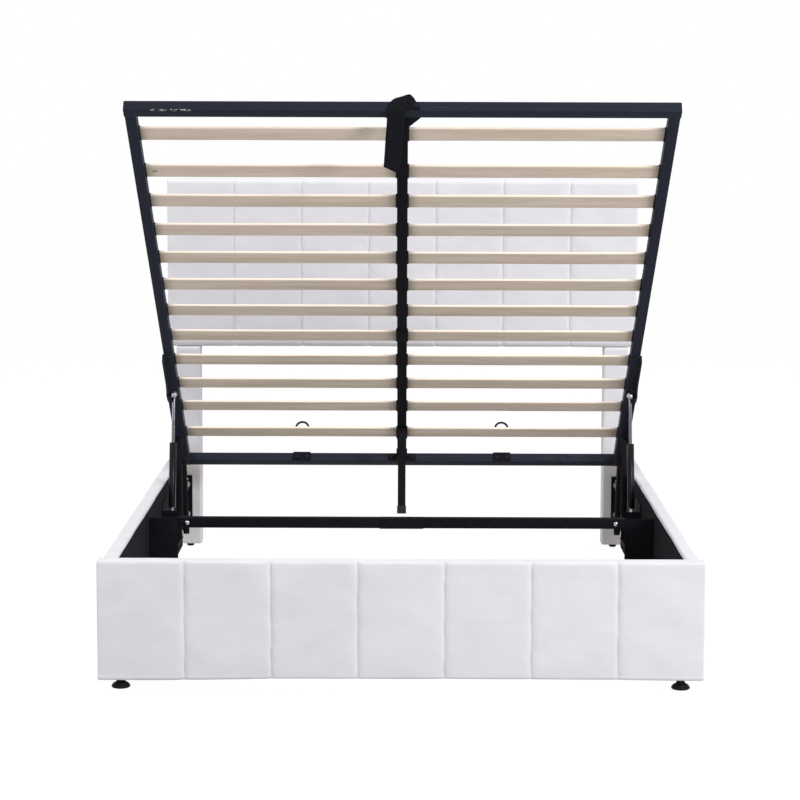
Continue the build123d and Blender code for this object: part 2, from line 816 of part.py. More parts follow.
with BuildPart() as right_deck_bolts:
    for end, radius in ((-bolt_head, bolt_head_radius), (thread, bolt_radius)):
        with BuildSketch(on_deck(level(-lift_bracket_plate))):
            with Locations(*[(lift_bolt_x, y) for y in lift_bolt_ys]):
                RegularPolygon(radius, side_count=bolt_sides)
        extrude(amount=end)
    for end, radius in ((bolt_head, small_head_radius), (-thread, bolt_radius)):
        with BuildSketch(on_deck(upright(-tube - bracket_plate))):
            with Locations(*[(x, tube / 2) for x in head_bolt_xs]):
                RegularPolygon(radius, side_count=bolt_sides)
        extrude(amount=end)
        with BuildSketch(on_deck(upright(foot_bar_face + bracket_plate))):
            with Locations((head_bolt_xs[-1], tube / 2)):
                RegularPolygon(radius, side_count=bolt_sides)
        extrude(amount=-end)
with BuildPart() as all_deck_bolts:
    add(both_sides(right_deck_bolts.part))
    for end, radius in ((bolt_head, small_head_radius), (-thread, bolt_radius)):
        with BuildSketch(on_deck(upright(strap_face - strap_thickness))):
            with Locations((strap_bolt_x, tube / 2)):
                RegularPolygon(radius, side_count=bolt_sides)
        extrude(amount=end)
deck_bolts = all_deck_bolts.part
save(deck_bolts, "deck_bolts")

# Deck frame: square tubes with plastic caps in their open ends
with BuildPart() as side_tube:
    with BuildSketch(on_deck(upright(foot_bar_face))):
        with Locations((deck_side - tube / 2, tube / 2)):
            Rectangle(tube, tube)
            Rectangle(bore, bore, mode=Mode.SUBTRACT)
    extrude(amount=foot_bar_face)
    add(right_deck_bolts.part, mode=Mode.SUBTRACT)
save_pair(side_tube.part, "deck_side_tube")

for name, middle, length in (("deck_head_bar", -tube / 2, 2 * deck_inner),
                             ("deck_foot_bar", foot_bar_face - tube / 2, deck_width)):
    with BuildPart() as cross_tube:
        with BuildSketch(on_deck(lengthwise(-length / 2))):
            with Locations((middle, tube / 2)):
                Rectangle(tube, tube)
                Rectangle(bore, bore, mode=Mode.SUBTRACT)
        extrude(amount=length)
        add(deck_bolts, mode=Mode.SUBTRACT)
    save(cross_tube.part, name)

for name, start, end in (("centre_bar_head", -tube, -splice_from_head),
                         ("centre_bar_foot", -splice_from_head, foot_bar_face)):
    with BuildPart() as centre_bar:
        with BuildSketch(on_deck(upright(start))):
            with Locations((0, tube / 2)):
                Rectangle(tube, tube)
                Rectangle(bore, bore, mode=Mode.SUBTRACT)
        extrude(amount=start - end)
    save(centre_bar.part, name)

with BuildPart() as tube_cap:
    for end, size in ((-cap_flange, tube), (cap_plug, bore)):
        with BuildSketch(on_deck(upright(0))):
            with Locations((deck_side - tube / 2, tube / 2)):
                Rectangle(size, size)
        extrude(amount=end)
        with BuildSketch(on_deck(lengthwise(deck_side))):
            with Locations((foot_bar_face - tube / 2, tube / 2)):
                Rectangle(size, size)
        extrude(amount=-end)
save(both_sides(tube_cap.part), "tube_caps")

# Centre bar joint: a shallow channel under the two butted ends
with BuildPart() as centre_splice:
    with BuildSketch(on_deck(upright(-splice_from_head))):
        with Locations((0, -splice_plate)):
            Rectangle(tube + 2 * splice_plate, splice_plate + splice_side,
                      align=(Align.CENTER, Align.MIN))
        Rectangle(tube, tube, align=(Align.CENTER, Align.MIN), mode=Mode.SUBTRACT)
    extrude(amount=splice_length / 2, both=True)
save(centre_splice.part, "centre_bar_splice")


def centre_bracket(face, inward):
    """A hat-shaped bracket that holds the centre bar to the bar whose face is given.

    Its ears lie on that face, its cheeks run inward along the centre bar, and a strip
    under the bar joins them.
    """
    inner = tube / 2
    outer = inner + bracket_plate
    ear = face + inward * bracket_plate
    with BuildPart() as bracket:
        with BuildSketch(on_deck(level(0))):
            for side in (1, -1):
                with BuildLine():
                    Polyline((side * inner, face), (side * inner, face + inward * ear_cheek),
                             (side * outer, face + inward * ear_cheek), (side * outer, ear),
                             (side * (outer + ear_reach), ear), (side * (outer + ear_reach), face),
                             close=True)
                make_face()
        extrude(amount=tube - bracket_plate)
        with BuildSketch(on_deck(level(0))):
            with Locations((0, face + inward * ear_cheek / 2)):
                Rectangle(2 * outer, ear_cheek)
        extrude(amount=-splice_plate)
        add(deck_bolts, mode=Mode.SUBTRACT)
    return bracket.part


save(centre_bracket(-tube, -1), "centre_bracket_head")

gusset_x = tube / 2 + bracket_plate
gusset_y = foot_bar_face + bracket_plate
with BuildPart() as foot_bracket:
    add(centre_bracket(foot_bar_face, 1))
    with BuildSketch(on_deck(level(0))):
        with BuildLine():
            Polyline((gusset_x, gusset_y), (gusset_x + gusset_reach, gusset_y),
                     (gusset_x, gusset_y + gusset_length), close=True)
        make_face()
    extrude(amount=bracket_plate)
save(foot_bracket.part, "centre_bracket_foot")

# Centre support leg: clamp on the centre bar, square tube and rubber shoe
leg_clamp_y = leg_clamp_offset - centre_leg_from_head
with BuildPart() as leg_clamp:
    with BuildSketch(on_deck(upright(leg_clamp_y))) as clamp_section:
        with Locations((0, -bracket_plate)):
            Rectangle(tube + 2 * bracket_plate, bracket_plate + leg_clamp_side,
                      align=(Align.CENTER, Align.MIN))
        fillet(clamp_section.vertices().group_by(Axis.Y)[0], bracket_plate)
        Rectangle(tube, tube, align=(Align.CENTER, Align.MIN), mode=Mode.SUBTRACT)
    extrude(amount=leg_clamp_length / 2, both=True)
save(leg_clamp.part, "centre_leg_clamp")

leg_length = deck_shut_z - bracket_plate - shoe_sole - centre_leg_floor_gap
leg_bore = centre_leg_size - 2 * centre_leg_wall
with BuildPart() as centre_leg:
    with BuildSketch(on_deck(level(-bracket_plate))):
        with Locations((0, -centre_leg_from_head)):
            Rectangle(centre_leg_size, centre_leg_size)
            Rectangle(leg_bore, leg_bore, mode=Mode.SUBTRACT)
    extrude(amount=-leg_length)
save(centre_leg.part, "centre_leg")

with BuildPart() as leg_shoe:
    with BuildSketch(on_deck(level(-bracket_plate - leg_length - shoe_sole))):
        with Locations((0, -centre_leg_from_head)):
            RectangleRounded(centre_leg_size + 2 * shoe_wall, centre_leg_size + 2 * shoe_wall, shoe_wall)
    extrude(amount=shoe_height)
    with BuildSketch(on_deck(level(-bracket_plate - leg_length))):
        with Locations((0, -centre_leg_from_head)):
            Rectangle(centre_leg_size, centre_leg_size)
    extrude(amount=shoe_height, mode=Mode.SUBTRACT)
save(leg_shoe.part, "centre_leg_shoe")

# Sprung slats in two halves a row, and a holder for each slat end
slat_second = slat_first + slat_end_pitch
slat_last = deck_length - slat_last_from_foot
slat_pitch = (slat_last - slat_end_pitch - slat_second) / (slat_middle_rows - 1)
slat_rows = [slat_first, slat_last] + [slat_second + row * slat_pitch for row in range(slat_middle_rows)]
slat_places = [(-row, slat_height + slat_thickness / 2) for row in slat_rows]
slat_start = tube / 2 + holder_back + slat_fit
slat_end = deck_inner - holder_back - slat_fit

with BuildPart() as slats:
    with BuildSketch(on_deck(lengthwise(slat_start))) as slat_section:
        with Locations(*slat_places):
            Rectangle(slat_width, slat_thickness)
        chamfer(slat_section.vertices(), slat_chamfer)
    extrude(amount=slat_end - slat_start)
save_pair(slats.part, "slats")

with BuildPart() as holders:
    for start, inward in ((tube / 2, 1), (deck_inner, -1)):
        with BuildSketch(on_deck(lengthwise(start))):
            with Locations(*slat_places):
                Rectangle(slat_width + 2 * holder_wall, slat_thickness + 2 * holder_wall)
        extrude(amount=inward * holder_depth)
        with BuildSketch(on_deck(lengthwise(start + inward * holder_back))):
            with Locations(*slat_places):
                Rectangle(slat_width + 2 * slat_fit, slat_thickness + 2 * slat_fit)
        extrude(amount=inward * holder_depth, mode=Mode.SUBTRACT)
save(both_sides(holders.part), "slat_holders")

# Mattress retainers: folded plates on the head bar, round-topped hoops on the nearest slats
with BuildPart() as retainer_plate:
    with BuildSketch(on_deck(lengthwise(retainer_from_centre))):
        with BuildLine():
            Polyline((0, tube), (0, tube + bracket_plate), (-tube - bracket_plate, tube + bracket_plate),
                     (-tube - bracket_plate, 0), (-tube, 0), (-tube, tube), close=True)
        make_face()
    extrude(amount=retainer_plate_width / 2, both=True)
    add(deck_bolts, mode=Mode.SUBTRACT)
save(both_sides(retainer_plate.part), "retainer_plates")

hoop_foot = slat_height + slat_thickness
hoop_half = (retainer_width - retainer_rod) / 2
hoop_left = hoop_from_centre - hoop_half
hoop_right = hoop_from_centre + hoop_half
hoop_shoulder = retainer_height - retainer_rod / 2 - hoop_half
with BuildPart() as retainer_hoop:
    with BuildLine(on_deck(upright(-slat_first))):
        Line((hoop_left, hoop_foot), (hoop_left, hoop_shoulder))
        ThreePointArc((hoop_left, hoop_shoulder), (hoop_from_centre, hoop_shoulder + hoop_half),
                      (hoop_right, hoop_shoulder))
        Line((hoop_right, hoop_shoulder), (hoop_right, hoop_foot))
    with BuildSketch(on_deck(level(hoop_foot))):
        with Locations((hoop_left, -slat_first)):
            RegularPolygon(retainer_rod / 2, side_count=retainer_rod_sides)
    sweep()
save(both_sides(retainer_hoop.part), "retainer_hoops")

# Lift brackets: an angle under each side tube, with an ear down to each pivot
outer_head = bracket_back + pivot_head / 2
with BuildPart() as deck_pins:
    for place in (rear_top, front_top, strut_top):
        add(hexed(place, (outer_head, bracket_face, pivot_head_radius)))
    add(turned(rear_top, (bracket_face, inner_head, pivot_radius)))
    add(hexed(rear_top, (inner_head, inner_head - pivot_head, pivot_head_radius)))
    add(turned(strut_top, (bracket_face, eye_back + open_pivot_gap, strut_boss_radius)))
save(both_sides(deck_pins.part), "deck_pivot_pins")

bracket_start = -lift_bracket_start
bracket_end = bracket_start - lift_bracket_length
edge = lift_bracket_edge
with BuildPart() as lift_bracket:
    with BuildSketch(on_deck(level(0))):
        with BuildLine():
            Polyline((bracket_back, bracket_start),
                     (bracket_back - lift_bracket_narrow, bracket_start),
                     (bracket_back - lift_bracket_narrow, -lift_bracket_step + edge),
                     (bracket_back - lift_bracket_wide, -lift_bracket_step),
                     (bracket_back - lift_bracket_wide, bracket_end + edge),
                     (bracket_back - lift_bracket_wide + edge, bracket_end),
                     (bracket_back, bracket_end), close=True)
        make_face()
    extrude(amount=-lift_bracket_plate)
    with BuildSketch(on_deck(lengthwise(bracket_face))) as side_outline:
        with BuildLine():
            Polyline((bracket_start, 0), (bracket_start, -rear_pivot_drop - edge),
                     (-rear_pivot_from_head - 2 * edge, -rear_pivot_drop - edge),
                     (-front_pivot_from_head + edge, -front_pivot_drop - edge),
                     (-front_pivot_from_head - edge, -front_pivot_drop - edge),
                     (-front_pivot_from_head - 4 * edge, -lift_bracket_waist),
                     (-strut_pivot_from_head + 4 * edge, -lift_bracket_waist),
                     (-strut_pivot_from_head + edge, -strut_pivot_drop - edge),
                     (-strut_pivot_from_head - edge, -strut_pivot_drop - edge),
                     (-strut_pivot_from_head - 4 * edge, -lift_bracket_waist),
                     (bracket_end, -lift_bracket_waist), (bracket_end, 0), close=True)
        make_face()
        fillet(side_outline.vertices().sort_by(Axis.Y)[:-2], edge / 2)
    extrude(amount=lift_bracket_plate)
    add(right_deck_bolts.part, mode=Mode.SUBTRACT)
    add(deck_pins.part, mode=Mode.SUBTRACT)
save_pair(lift_bracket.part, "lift_bracket")

# Pull strap: bolted to the foot bar's outer face, folded above it, its free end in front
corner_y, corner_z = raised((strap_face - strap_thickness, 0))
fixed_right = strap_fixed_left + strap_width
fold_right = strap_fold_left + strap_fold_width
with BuildPart() as pull_strap:
    with BuildSketch(on_deck(upright(strap_face))):
        with Locations((strap_fixed_left, strap_fixed_bottom)):
            Rectangle(strap_width, tube - strap_fixed_bottom, align=(Align.MIN, Align.MIN))
    extrude(amount=strap_thickness)
    with BuildSketch(on_deck(upright(strap_face))):
        with BuildLine():
            Polyline((strap_fold_left, tube), (strap_fixed_left, strap_crest),
                     (fixed_right - strap_width / 2, strap_crest), (fixed_right, tube), close=True)
        make_face()
    extrude(amount=2 * strap_thickness)
    with BuildSketch(on_deck(upright(strap_face - strap_thickness))):
        with BuildLine():
            Polyline((strap_fold_left, tube), (fold_right, tube), (strap_edge_left + strap_width, 0),
                     (strap_edge_left, 0), close=True)
        make_face()
    extrude(amount=strap_thickness)
    with BuildSketch(upright(corner_y)):
        with BuildLine():
            Polyline((strap_edge_left, corner_z + strap_thickness),
                     (strap_edge_left + strap_width, corner_z + strap_thickness),
                     (strap_end_left + strap_end_width, corner_z - strap_hang - strap_end_slant / 2),
                     (strap_end_left, corner_z - strap_hang + strap_end_slant / 2), close=True)
        make_face()
    extrude(amount=strap_thickness)
    add(deck_bolts, mode=Mode.SUBTRACT)
save(pull_strap.part, "pull_strap")
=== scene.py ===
# %% [markdown]
# # Dressing an ottoman storage bed
# The CAD model already holds every rigid piece of the bed in its exact place. This lesson loads it,
# softens its edges, gives each piece its finish, and makes what CAD can't: the padded velvet
# covers, the folded pull strap and the small turned and bent fittings.
#
# All lengths are in metres. X runs across the bed, +Y points to the headboard and +Z is up.

# %% Load the model and note its box
import json
from math import cos, pi, radians, sin

import bmesh
import bpy
import numpy as np
from mathutils import Matrix, Vector

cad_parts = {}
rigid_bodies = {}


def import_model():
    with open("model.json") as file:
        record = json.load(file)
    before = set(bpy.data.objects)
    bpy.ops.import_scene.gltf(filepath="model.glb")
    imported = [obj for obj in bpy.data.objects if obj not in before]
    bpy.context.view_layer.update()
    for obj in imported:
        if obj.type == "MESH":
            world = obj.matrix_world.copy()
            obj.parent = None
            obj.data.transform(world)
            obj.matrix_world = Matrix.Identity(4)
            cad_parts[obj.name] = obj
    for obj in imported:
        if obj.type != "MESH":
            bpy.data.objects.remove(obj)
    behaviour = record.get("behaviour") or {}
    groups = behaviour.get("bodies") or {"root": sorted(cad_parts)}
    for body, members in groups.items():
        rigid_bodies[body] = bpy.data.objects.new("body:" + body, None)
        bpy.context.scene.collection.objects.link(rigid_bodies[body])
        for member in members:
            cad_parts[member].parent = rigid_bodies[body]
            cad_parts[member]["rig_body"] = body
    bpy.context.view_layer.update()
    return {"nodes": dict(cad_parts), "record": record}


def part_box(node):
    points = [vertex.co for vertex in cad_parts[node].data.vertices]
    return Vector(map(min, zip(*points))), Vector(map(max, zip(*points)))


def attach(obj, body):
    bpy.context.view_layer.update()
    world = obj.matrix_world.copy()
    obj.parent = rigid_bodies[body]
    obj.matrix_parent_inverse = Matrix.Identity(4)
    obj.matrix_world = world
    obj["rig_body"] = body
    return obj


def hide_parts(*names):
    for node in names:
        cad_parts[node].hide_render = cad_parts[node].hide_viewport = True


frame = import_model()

slot_of = {part["node"]: part["material_slot"] for part in frame["record"]["subparts"]}

# %% [markdown]
# ## Camera
# The photograph was taken 7.4 m before the bed's middle, with a long lens. Three angles turn the
# camera: how far it looks down, how far it is turned to the side and how far it leans.

# %% Place the camera
camera_place = Vector((0.0047, -7.3621, 1.5451))
camera_down = radians(7.0)
camera_turn = radians(-0.08)
camera_lean = radians(0.17)
camera_lens = 109.589

camera_data = bpy.data.cameras.new("camera")
camera_data.lens = camera_lens
camera = bpy.data.objects.new("camera", camera_data)
scene = bpy.context.scene
scene.collection.objects.link(camera)
aimed = Matrix.Rotation(-camera_turn, 4, "Z") @ Matrix.Rotation(pi / 2 - camera_down, 4, "X")
camera.matrix_world = Matrix.Translation(camera_place) @ aimed @ Matrix.Rotation(camera_lean, 4, "Z")
scene.camera = camera
scene.view_settings.view_transform = "Standard"
print("camera lens", camera_lens)

# %% [markdown]
# ## Building materials from nodes
# A material is a small net of nodes. The first helper makes one node, sets its own options, and
# fills its sockets with a number, a colour or a link to another node's socket.

# %% Helpers for node nets
# the Mix node's sockets for colours
mix_share, mix_first, mix_second, mix_result = 0, 6, 7, 2


def node(tree, kind, inputs=None, **options):
    """One node of a net. Inputs are keyed by socket name, options are the node's own settings."""
    made = tree.nodes.new("ShaderNode" + kind)
    for option, value in options.items():
        setattr(made, option, value)
    for socket, value in (inputs or {}).items():
        if isinstance(value, bpy.types.NodeSocket):
            tree.links.new(value, made.inputs[socket])
        else:
            made.inputs[socket].default_value = value
    return made


def noise(tree, coordinates, scale, detail=3.0, stretch=(1, 1, 1)):
    """A cloud pattern from 0 to 1. Stretch multiplies the coordinates first, to draw it out."""
    placed = node(tree, "Mapping", {"Vector": coordinates, "Scale": stretch}).outputs["Vector"]
    return node(tree, "TexNoise", {"Vector": placed, "Scale": scale, "Detail": detail}).outputs["Fac"]


def ramp(tree, value, low, high):
    """The value stretched so that low becomes 0 and high becomes 1."""
    return node(tree, "MapRange", {"Value": value, "From Min": low, "From Max": high}).outputs["Result"]


def blend(tree, share, first, second):
    """The first colour where share is 0, the second where it is 1."""
    first, second = ((*c, 1) if isinstance(c, tuple) else c for c in (first, second))
    mix = node(tree, "Mix", {mix_share: share, mix_first: first, mix_second: second}, data_type="RGBA")
    return mix.outputs[mix_result]


def multiply(tree, first, *others):
    """The product of sockets or numbers."""
    for other in others:
        first = node(tree, "Math", {0: first, 1: other}, operation="MULTIPLY").outputs[0]
    return first


def add_up(tree, *terms):
    """A weighted sum of two patterns: each term is a socket and its weight."""
    first, second = (multiply(tree, socket, weight) for socket, weight in terms)
    return node(tree, "Math", {0: first, 1: second}).outputs[0]


def new_material(name, **shader_inputs):
    """A material with its shader's plain sockets set. Returns it, its net, its shader and coordinates."""
    material = bpy.data.materials.new(name)
    material.use_nodes = True
    tree = material.node_tree
    shader = tree.nodes["Principled BSDF"]
    for socket, value in shader_inputs.items():
        shader.inputs[socket.replace("_", " ")].default_value = value
    return material, tree, shader, node(tree, "TexCoord").outputs["Object"]


def finish_with(tree, shader, colour, height, depth=0.001, strength=1.0, roughness=None):
    """Links a colour, a bump height with its depth in metres, and a roughness to the shader."""
    tree.links.new(colour, shader.inputs["Base Color"])
    bump = node(tree, "Bump", {"Height": height, "Distance": depth, "Strength": strength})
    tree.links.new(bump.outputs["Normal"], shader.inputs["Normal"])
    if roughness is not None:
        tree.links.new(roughness, shader.inputs["Roughness"])


# %% [markdown]
# ## Studio
# The photograph has a white ground and soft light. The surroundings show white to the camera and in
# reflections, but light the bed less, so the lamps can shape it.

# %% Surroundings
surround_level = 0.46
surroundings = bpy.data.worlds.new("studio")
scene.world = surroundings
surroundings.use_nodes = True
net = surroundings.node_tree
net.nodes.clear()


def seen_directly(tree):
    """1 for rays from the camera, in a reflection or through glass, and 0 for light on surfaces."""
    path = node(tree, "LightPath").outputs
    shown = path["Is Camera Ray"]
    for kind in ("Is Glossy Ray", "Is Transmission Ray"):
        shown = node(tree, "Math", {0: shown, 1: path[kind]}, operation="MAXIMUM").outputs[0]
    return shown


lighting = node(net, "Background", {"Color": (1, 1, 1, 1), "Strength": surround_level})
white = node(net, "Background", {"Color": (1, 1, 1, 1), "Strength": 1.0})
chosen = node(net, "MixShader", {0: seen_directly(net), 1: lighting.outputs[0], 2: white.outputs[0]})
node(net, "OutputWorld", {"Surface": chosen.outputs[0]})

# %% [markdown]
# The floor mixes a glow that shows white in the same way with a matt paint that keeps a shadow.

# %% Floor
floor_half = 30.0
floor_glow_share = 0.85
floor_glow_strength = 1.12
floor_paint = 0.56
floor_mesh = bpy.data.meshes.new("floor")
floor_corners = [(x * floor_half, y * floor_half, 0) for x, y in ((-1, -1), (1, -1), (1, 1), (-1, 1))]
floor_mesh.from_pydata(floor_corners, [], [(0, 1, 2, 3)])
floor = bpy.data.objects.new("floor", floor_mesh)
scene.collection.objects.link(floor)

floor_finish = bpy.data.materials.new("floor")
floor_finish.use_nodes = True
net = floor_finish.node_tree
net.nodes.clear()
paint = node(net, "BsdfDiffuse", {"Color": (floor_paint, floor_paint, floor_paint, 1)})
glow = node(net, "Emission", {"Color": (1, 1, 1, 1), "Strength": floor_glow_strength})
glowing = multiply(net, seen_directly(net), floor_glow_share)
ground = node(net, "MixShader", {0: glowing, 1: paint.outputs[0], 2: glow.outputs[0]})
node(net, "OutputMaterial", {"Surface": ground.outputs[0]})
floor_mesh.materials.append(floor_finish)

# %% [markdown]
# The key lamp stands at the front right, so the footboard grows lighter from left to right. A weak
# fill faces it, and two high lamps light the tops and the headboard.

# %% Lamps
bed_middle = (0, 0, 0.6)
# name, place, width and power in watts
lamps = [("key", (4.3, -6.0, 3.0), 1.6, 305),
         ("fill", (-4.5, -5.0, 2.2), 3.0, 20),
         ("high_left", (-3.8, -0.3, 4.4), 2.0, 145),
         ("high_right", (3.8, -0.3, 4.4), 2.0, 118)]


def area_lamp(name, place, aim, size, power):
    """A square soft lamp at a place, turned towards a point."""
    data = bpy.data.lights.new(name, "AREA")
    data.size = size
    data.energy = power
    lamp = bpy.data.objects.new(name, data)
    scene.collection.objects.link(lamp)
    lamp.location = place
    lamp.rotation_euler = (Vector(aim) - Vector(place)).to_track_quat("-Z", "Y").to_euler()


for name, place, size, power in lamps:
    area_lamp(name, place, bed_middle, size, power)
print("lamps", len(lamps))

# %% [markdown]
# ## The raised deck
# A place on the raised deck is easier to say on the level deck, from its head edge and its
# underside. It is then carried up by the deck's turn of 36.7 degrees.

# %% Places on the raised deck
deck_tilt = radians(36.7)
tube_size = 0.030
side_low, side_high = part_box("deck_side_tube_right")
deck_head = np.array((0, side_high.y - tube_size * sin(deck_tilt), side_low.z))
deck_along = np.array((0, cos(deck_tilt), -sin(deck_tilt)))
deck_normal = np.array((0, sin(deck_tilt), cos(deck_tilt)))


def on_deck(x, y, z):
    """Places of the level deck, turned up with it: head edge + x right + y along + z normal."""
    x, y, z = (value[..., None] for value in np.broadcast_arrays(x, y, z))
    return deck_head + x * (1, 0, 0) + y * deck_along + z * deck_normal


print("deck head edge", deck_head.round(4))

# %% [markdown]
# ## Velvet
# The covers are a short-pile velvet in cool white. It is brushed crosswise, which leaves faint level
# streaks, and differs a little from patch to patch. A sheen brightens it where it turns away from
# the eye. The fine pile is only a bump.

# %% Velvet finish
velvet_light = (0.725, 0.722, 0.762)
velvet_dark = (0.672, 0.668, 0.708)
velvet, net, shader, place = new_material("velvet", Roughness=0.85, Specular_IOR_Level=0.2,
                                          Sheen_Weight=0.25, Sheen_Roughness=0.35)
pile = noise(net, place, scale=900, detail=2)
streaks = noise(net, place, scale=1, detail=4, stretch=(12, 12, 190))
patches = noise(net, place, scale=9, detail=5, stretch=(1, 1, 1.6))
worn = ramp(net, add_up(net, (streaks, 0.3), (patches, 0.7)), 0.34, 0.64)
finish_with(net, shader, blend(net, worn, velvet_dark, velvet_light),
            height=add_up(net, (pile, 0.6), (streaks, 0.25)), depth=0.0010, strength=0.4)

# %% [markdown]
# ## Wood
# The slats are laminated beech. Its grain runs along the slat, in X, so the noise is drawn out that
# way. Where the surface faces along the deck it is a sawn edge, painted paler: partly the edge's own
# tone, partly painted light on the edge turned up to the lamps. One slat has a small blue-grey spot.
# The boards inside the covers are particle board: pale and dark flakes pressed together.

# %% Slat wood and particle board
beech_light = (0.715, 0.612, 0.514)
beech_dark = (0.575, 0.472, 0.375)
sawn_edge_and_painted_light = (0.840, 0.738, 0.632)
grey_spot_place = (-0.684, -0.610, 1.350)
grey_spot_sizes = (0.0075, 0.005, 0.005)
grey_spot_colour = (0.235, 0.250, 0.290)
flake_light = (0.56, 0.42, 0.27)
flake_dark = (0.34, 0.23, 0.13)

slat_wood, net, shader, place = new_material("slat_wood", Roughness=0.5, Specular_IOR_Level=0.25)
fine_grain = noise(net, place, scale=1, detail=5, stretch=(9, 420, 420))
broad_grain = noise(net, place, scale=1, detail=3, stretch=(2.2, 46, 46))
grain = add_up(net, (fine_grain, 0.5), (broad_grain, 0.5))
colour = blend(net, ramp(net, grain, 0.38, 0.6), beech_dark, beech_light)
facing = node(net, "TexCoord").outputs["Normal"]
along_deck = node(net, "VectorMath", {0: facing, 1: tuple(deck_along)}, operation="DOT_PRODUCT")
sideways = node(net, "Math", {0: along_deck.outputs["Value"]}, operation="ABSOLUTE").outputs[0]
# paler where the surface faces along the deck: the sawn edge's own tone plus painted light on it
colour = blend(net, ramp(net, sideways, 0.25, 0.62), colour, sawn_edge_and_painted_light)
# a small blue-grey spot on one slat, painted by the distance from its middle
beside = node(net, "VectorMath", {0: place, 1: grey_spot_place}, operation="SUBTRACT").outputs[0]
scaled = node(net, "VectorMath", {0: beside, 1: grey_spot_sizes}, operation="DIVIDE").outputs[0]
distance = node(net, "VectorMath", {0: scaled}, operation="LENGTH").outputs["Value"]
colour = blend(net, ramp(net, distance, 1.2, 0.6), colour, grey_spot_colour)
finish_with(net, shader, colour, height=fine_grain, depth=0.0004, strength=0.4,
            roughness=ramp(net, grain, 1.6, -0.4))

board_wood, net, shader, place = new_material("board_wood", Roughness=0.8)
flakes = node(net, "TexVoronoi", {"Vector": place, "Scale": 260}).outputs["Distance"]
dust = noise(net, place, scale=700, detail=3)
pressed = ramp(net, add_up(net, (flakes, 0.6), (dust, 0.6)), 0.3, 0.75)
finish_with(net, shader, blend(net, pressed, flake_dark, flake_light), height=dust, depth=0.0006)

# %% [markdown]
# ## Steel
# The steel is powder coated: satin blue-black on the deck's frame and lift brackets, matt black on
# plates and inner bars, glossier on arms and struts. Handling rubs the coat thin along the edges:
# Pointiness tells how sharp a spot is, and cloudy noise breaks the rubbed line up.

# %% Powder coat
# colour of a coat, and where it is rubbed thin
satin = (0.021, 0.0245, 0.037), (0.040, 0.043, 0.052)
matt = (0.0095, 0.0095, 0.0125), (0.0130, 0.0130, 0.0170)
bare_steel = (0.42, 0.41, 0.40)
cloud_softness = 14


def inside_box(tree, place, low_corner, high_corner):
    """1 inside a box that stands square to the axes, and 0 outside it."""
    parts = node(tree, "SeparateXYZ", {"Vector": place}).outputs
    sides = []
    for axis, low, high in zip("XYZ", low_corner, high_corner):
        for limit, operation in ((low, "GREATER_THAN"), (high, "LESS_THAN")):
            sides.append(node(tree, "Math", {0: parts[axis], 1: limit}, operation=operation).outputs[0])
    return multiply(tree, *sides)


def powder_coat(name, coat, rubbed, gloss, roughness, chips=None):
    """A powder coat whose roughness moves a little with a cloud. Between the two corners of chips, if
    given, small chips show the steel."""
    material, tree, shader, place = new_material(name, Roughness=roughness, Specular_IOR_Level=gloss)
    peel = noise(tree, place, scale=520, detail=2)
    cloud = noise(tree, place, scale=60, detail=4)
    edge = ramp(tree, node(tree, "NewGeometry").outputs["Pointiness"], 0.54, 0.62)
    colour = blend(tree, multiply(tree, edge, ramp(tree, cloud, 0.42, 0.62)), coat, rubbed)
    if chips:
        spots = ramp(tree, noise(tree, place, scale=240, detail=3, stretch=(0.5, 1, 1)), 0.56, 0.58)
        chipped = multiply(tree, inside_box(tree, place, *chips), spots)
        colour = blend(tree, chipped, colour, bare_steel)
    varied = ramp(tree, cloud, 0.5 - cloud_softness * roughness, 0.5 + cloud_softness * (1 - roughness))
    finish_with(tree, shader, colour, height=peel, depth=0.0003, strength=0.35, roughness=varied)
    return material


bar_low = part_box("deck_foot_bar")[0]
worn_middle = np.array((-0.615, bar_low.y - 0.00325, bar_low.z + tube_size * sin(deck_tilt)))
worn_reach = np.array((0.053, 0.00675, 0.0028))
worn_box = (worn_middle - worn_reach, worn_middle + worn_reach)
black_steel = powder_coat("black_steel", *satin, gloss=0.025, roughness=0.45)
chipped_steel = powder_coat("chipped_steel", *satin, gloss=0.025, roughness=0.45, chips=worn_box)
matt_steel = powder_coat("matt_steel", *matt, gloss=0.02, roughness=0.68)
arm_steel = powder_coat("arm_steel", *matt, gloss=0.05, roughness=0.36)
strut_paint = powder_coat("strut_paint", *matt, gloss=0.12, roughness=0.24)

# %% [markdown]
# ## Small fittings and the lining
# The other finishes need only one noise each. The well is lined with dark felt.

# %% Other finishes
def grained(name, dark, light, scale, detail, depth, strength, stretch=(1, 1, 1), shine=None,
            **shader_inputs):
    """A finish from one noise, which mixes two colours and raises a fine bump. Shine, if given, is
    the ramp from the noise to the roughness."""
    material, tree, shader, place = new_material(name, **shader_inputs)
    grain = noise(tree, place, scale, detail, stretch)
    roughness = ramp(tree, grain, *shine) if shine else None
    finish_with(tree, shader, blend(tree, grain, dark, light), grain, depth, strength, roughness)
    return material


zinc = grained("zinc", (0.36, 0.37, 0.39), (0.56, 0.565, 0.575), scale=420, detail=3, depth=0.0002,
               strength=0.3, shine=(-0.5, 2.4), Roughness=0.32, Metallic=1.0)
rod_chrome = grained("rod_chrome", (0.09, 0.095, 0.115), (0.22, 0.23, 0.26), scale=1, detail=2,
                     depth=0.0001, strength=0.2, stretch=(800, 60, 60), Roughness=0.22, Metallic=1.0)
black_plastic = grained("black_plastic", (0.004, 0.004, 0.005), (0.009, 0.009, 0.010), scale=1100,
                        detail=2, depth=0.0002, strength=0.4, Roughness=0.5, Specular_IOR_Level=0.12)
black_rubber = grained("black_rubber", (0.012, 0.012, 0.013), (0.026, 0.026, 0.027), scale=700,
                       detail=3, depth=0.0004, strength=0.5, Roughness=0.75, Specular_IOR_Level=0.2)
lining = grained("lining", (0.008, 0.008, 0.010), (0.019, 0.019, 0.023), scale=500, detail=4,
                 depth=0.0008, strength=0.6, Roughness=0.95, Specular_IOR_Level=0.03)

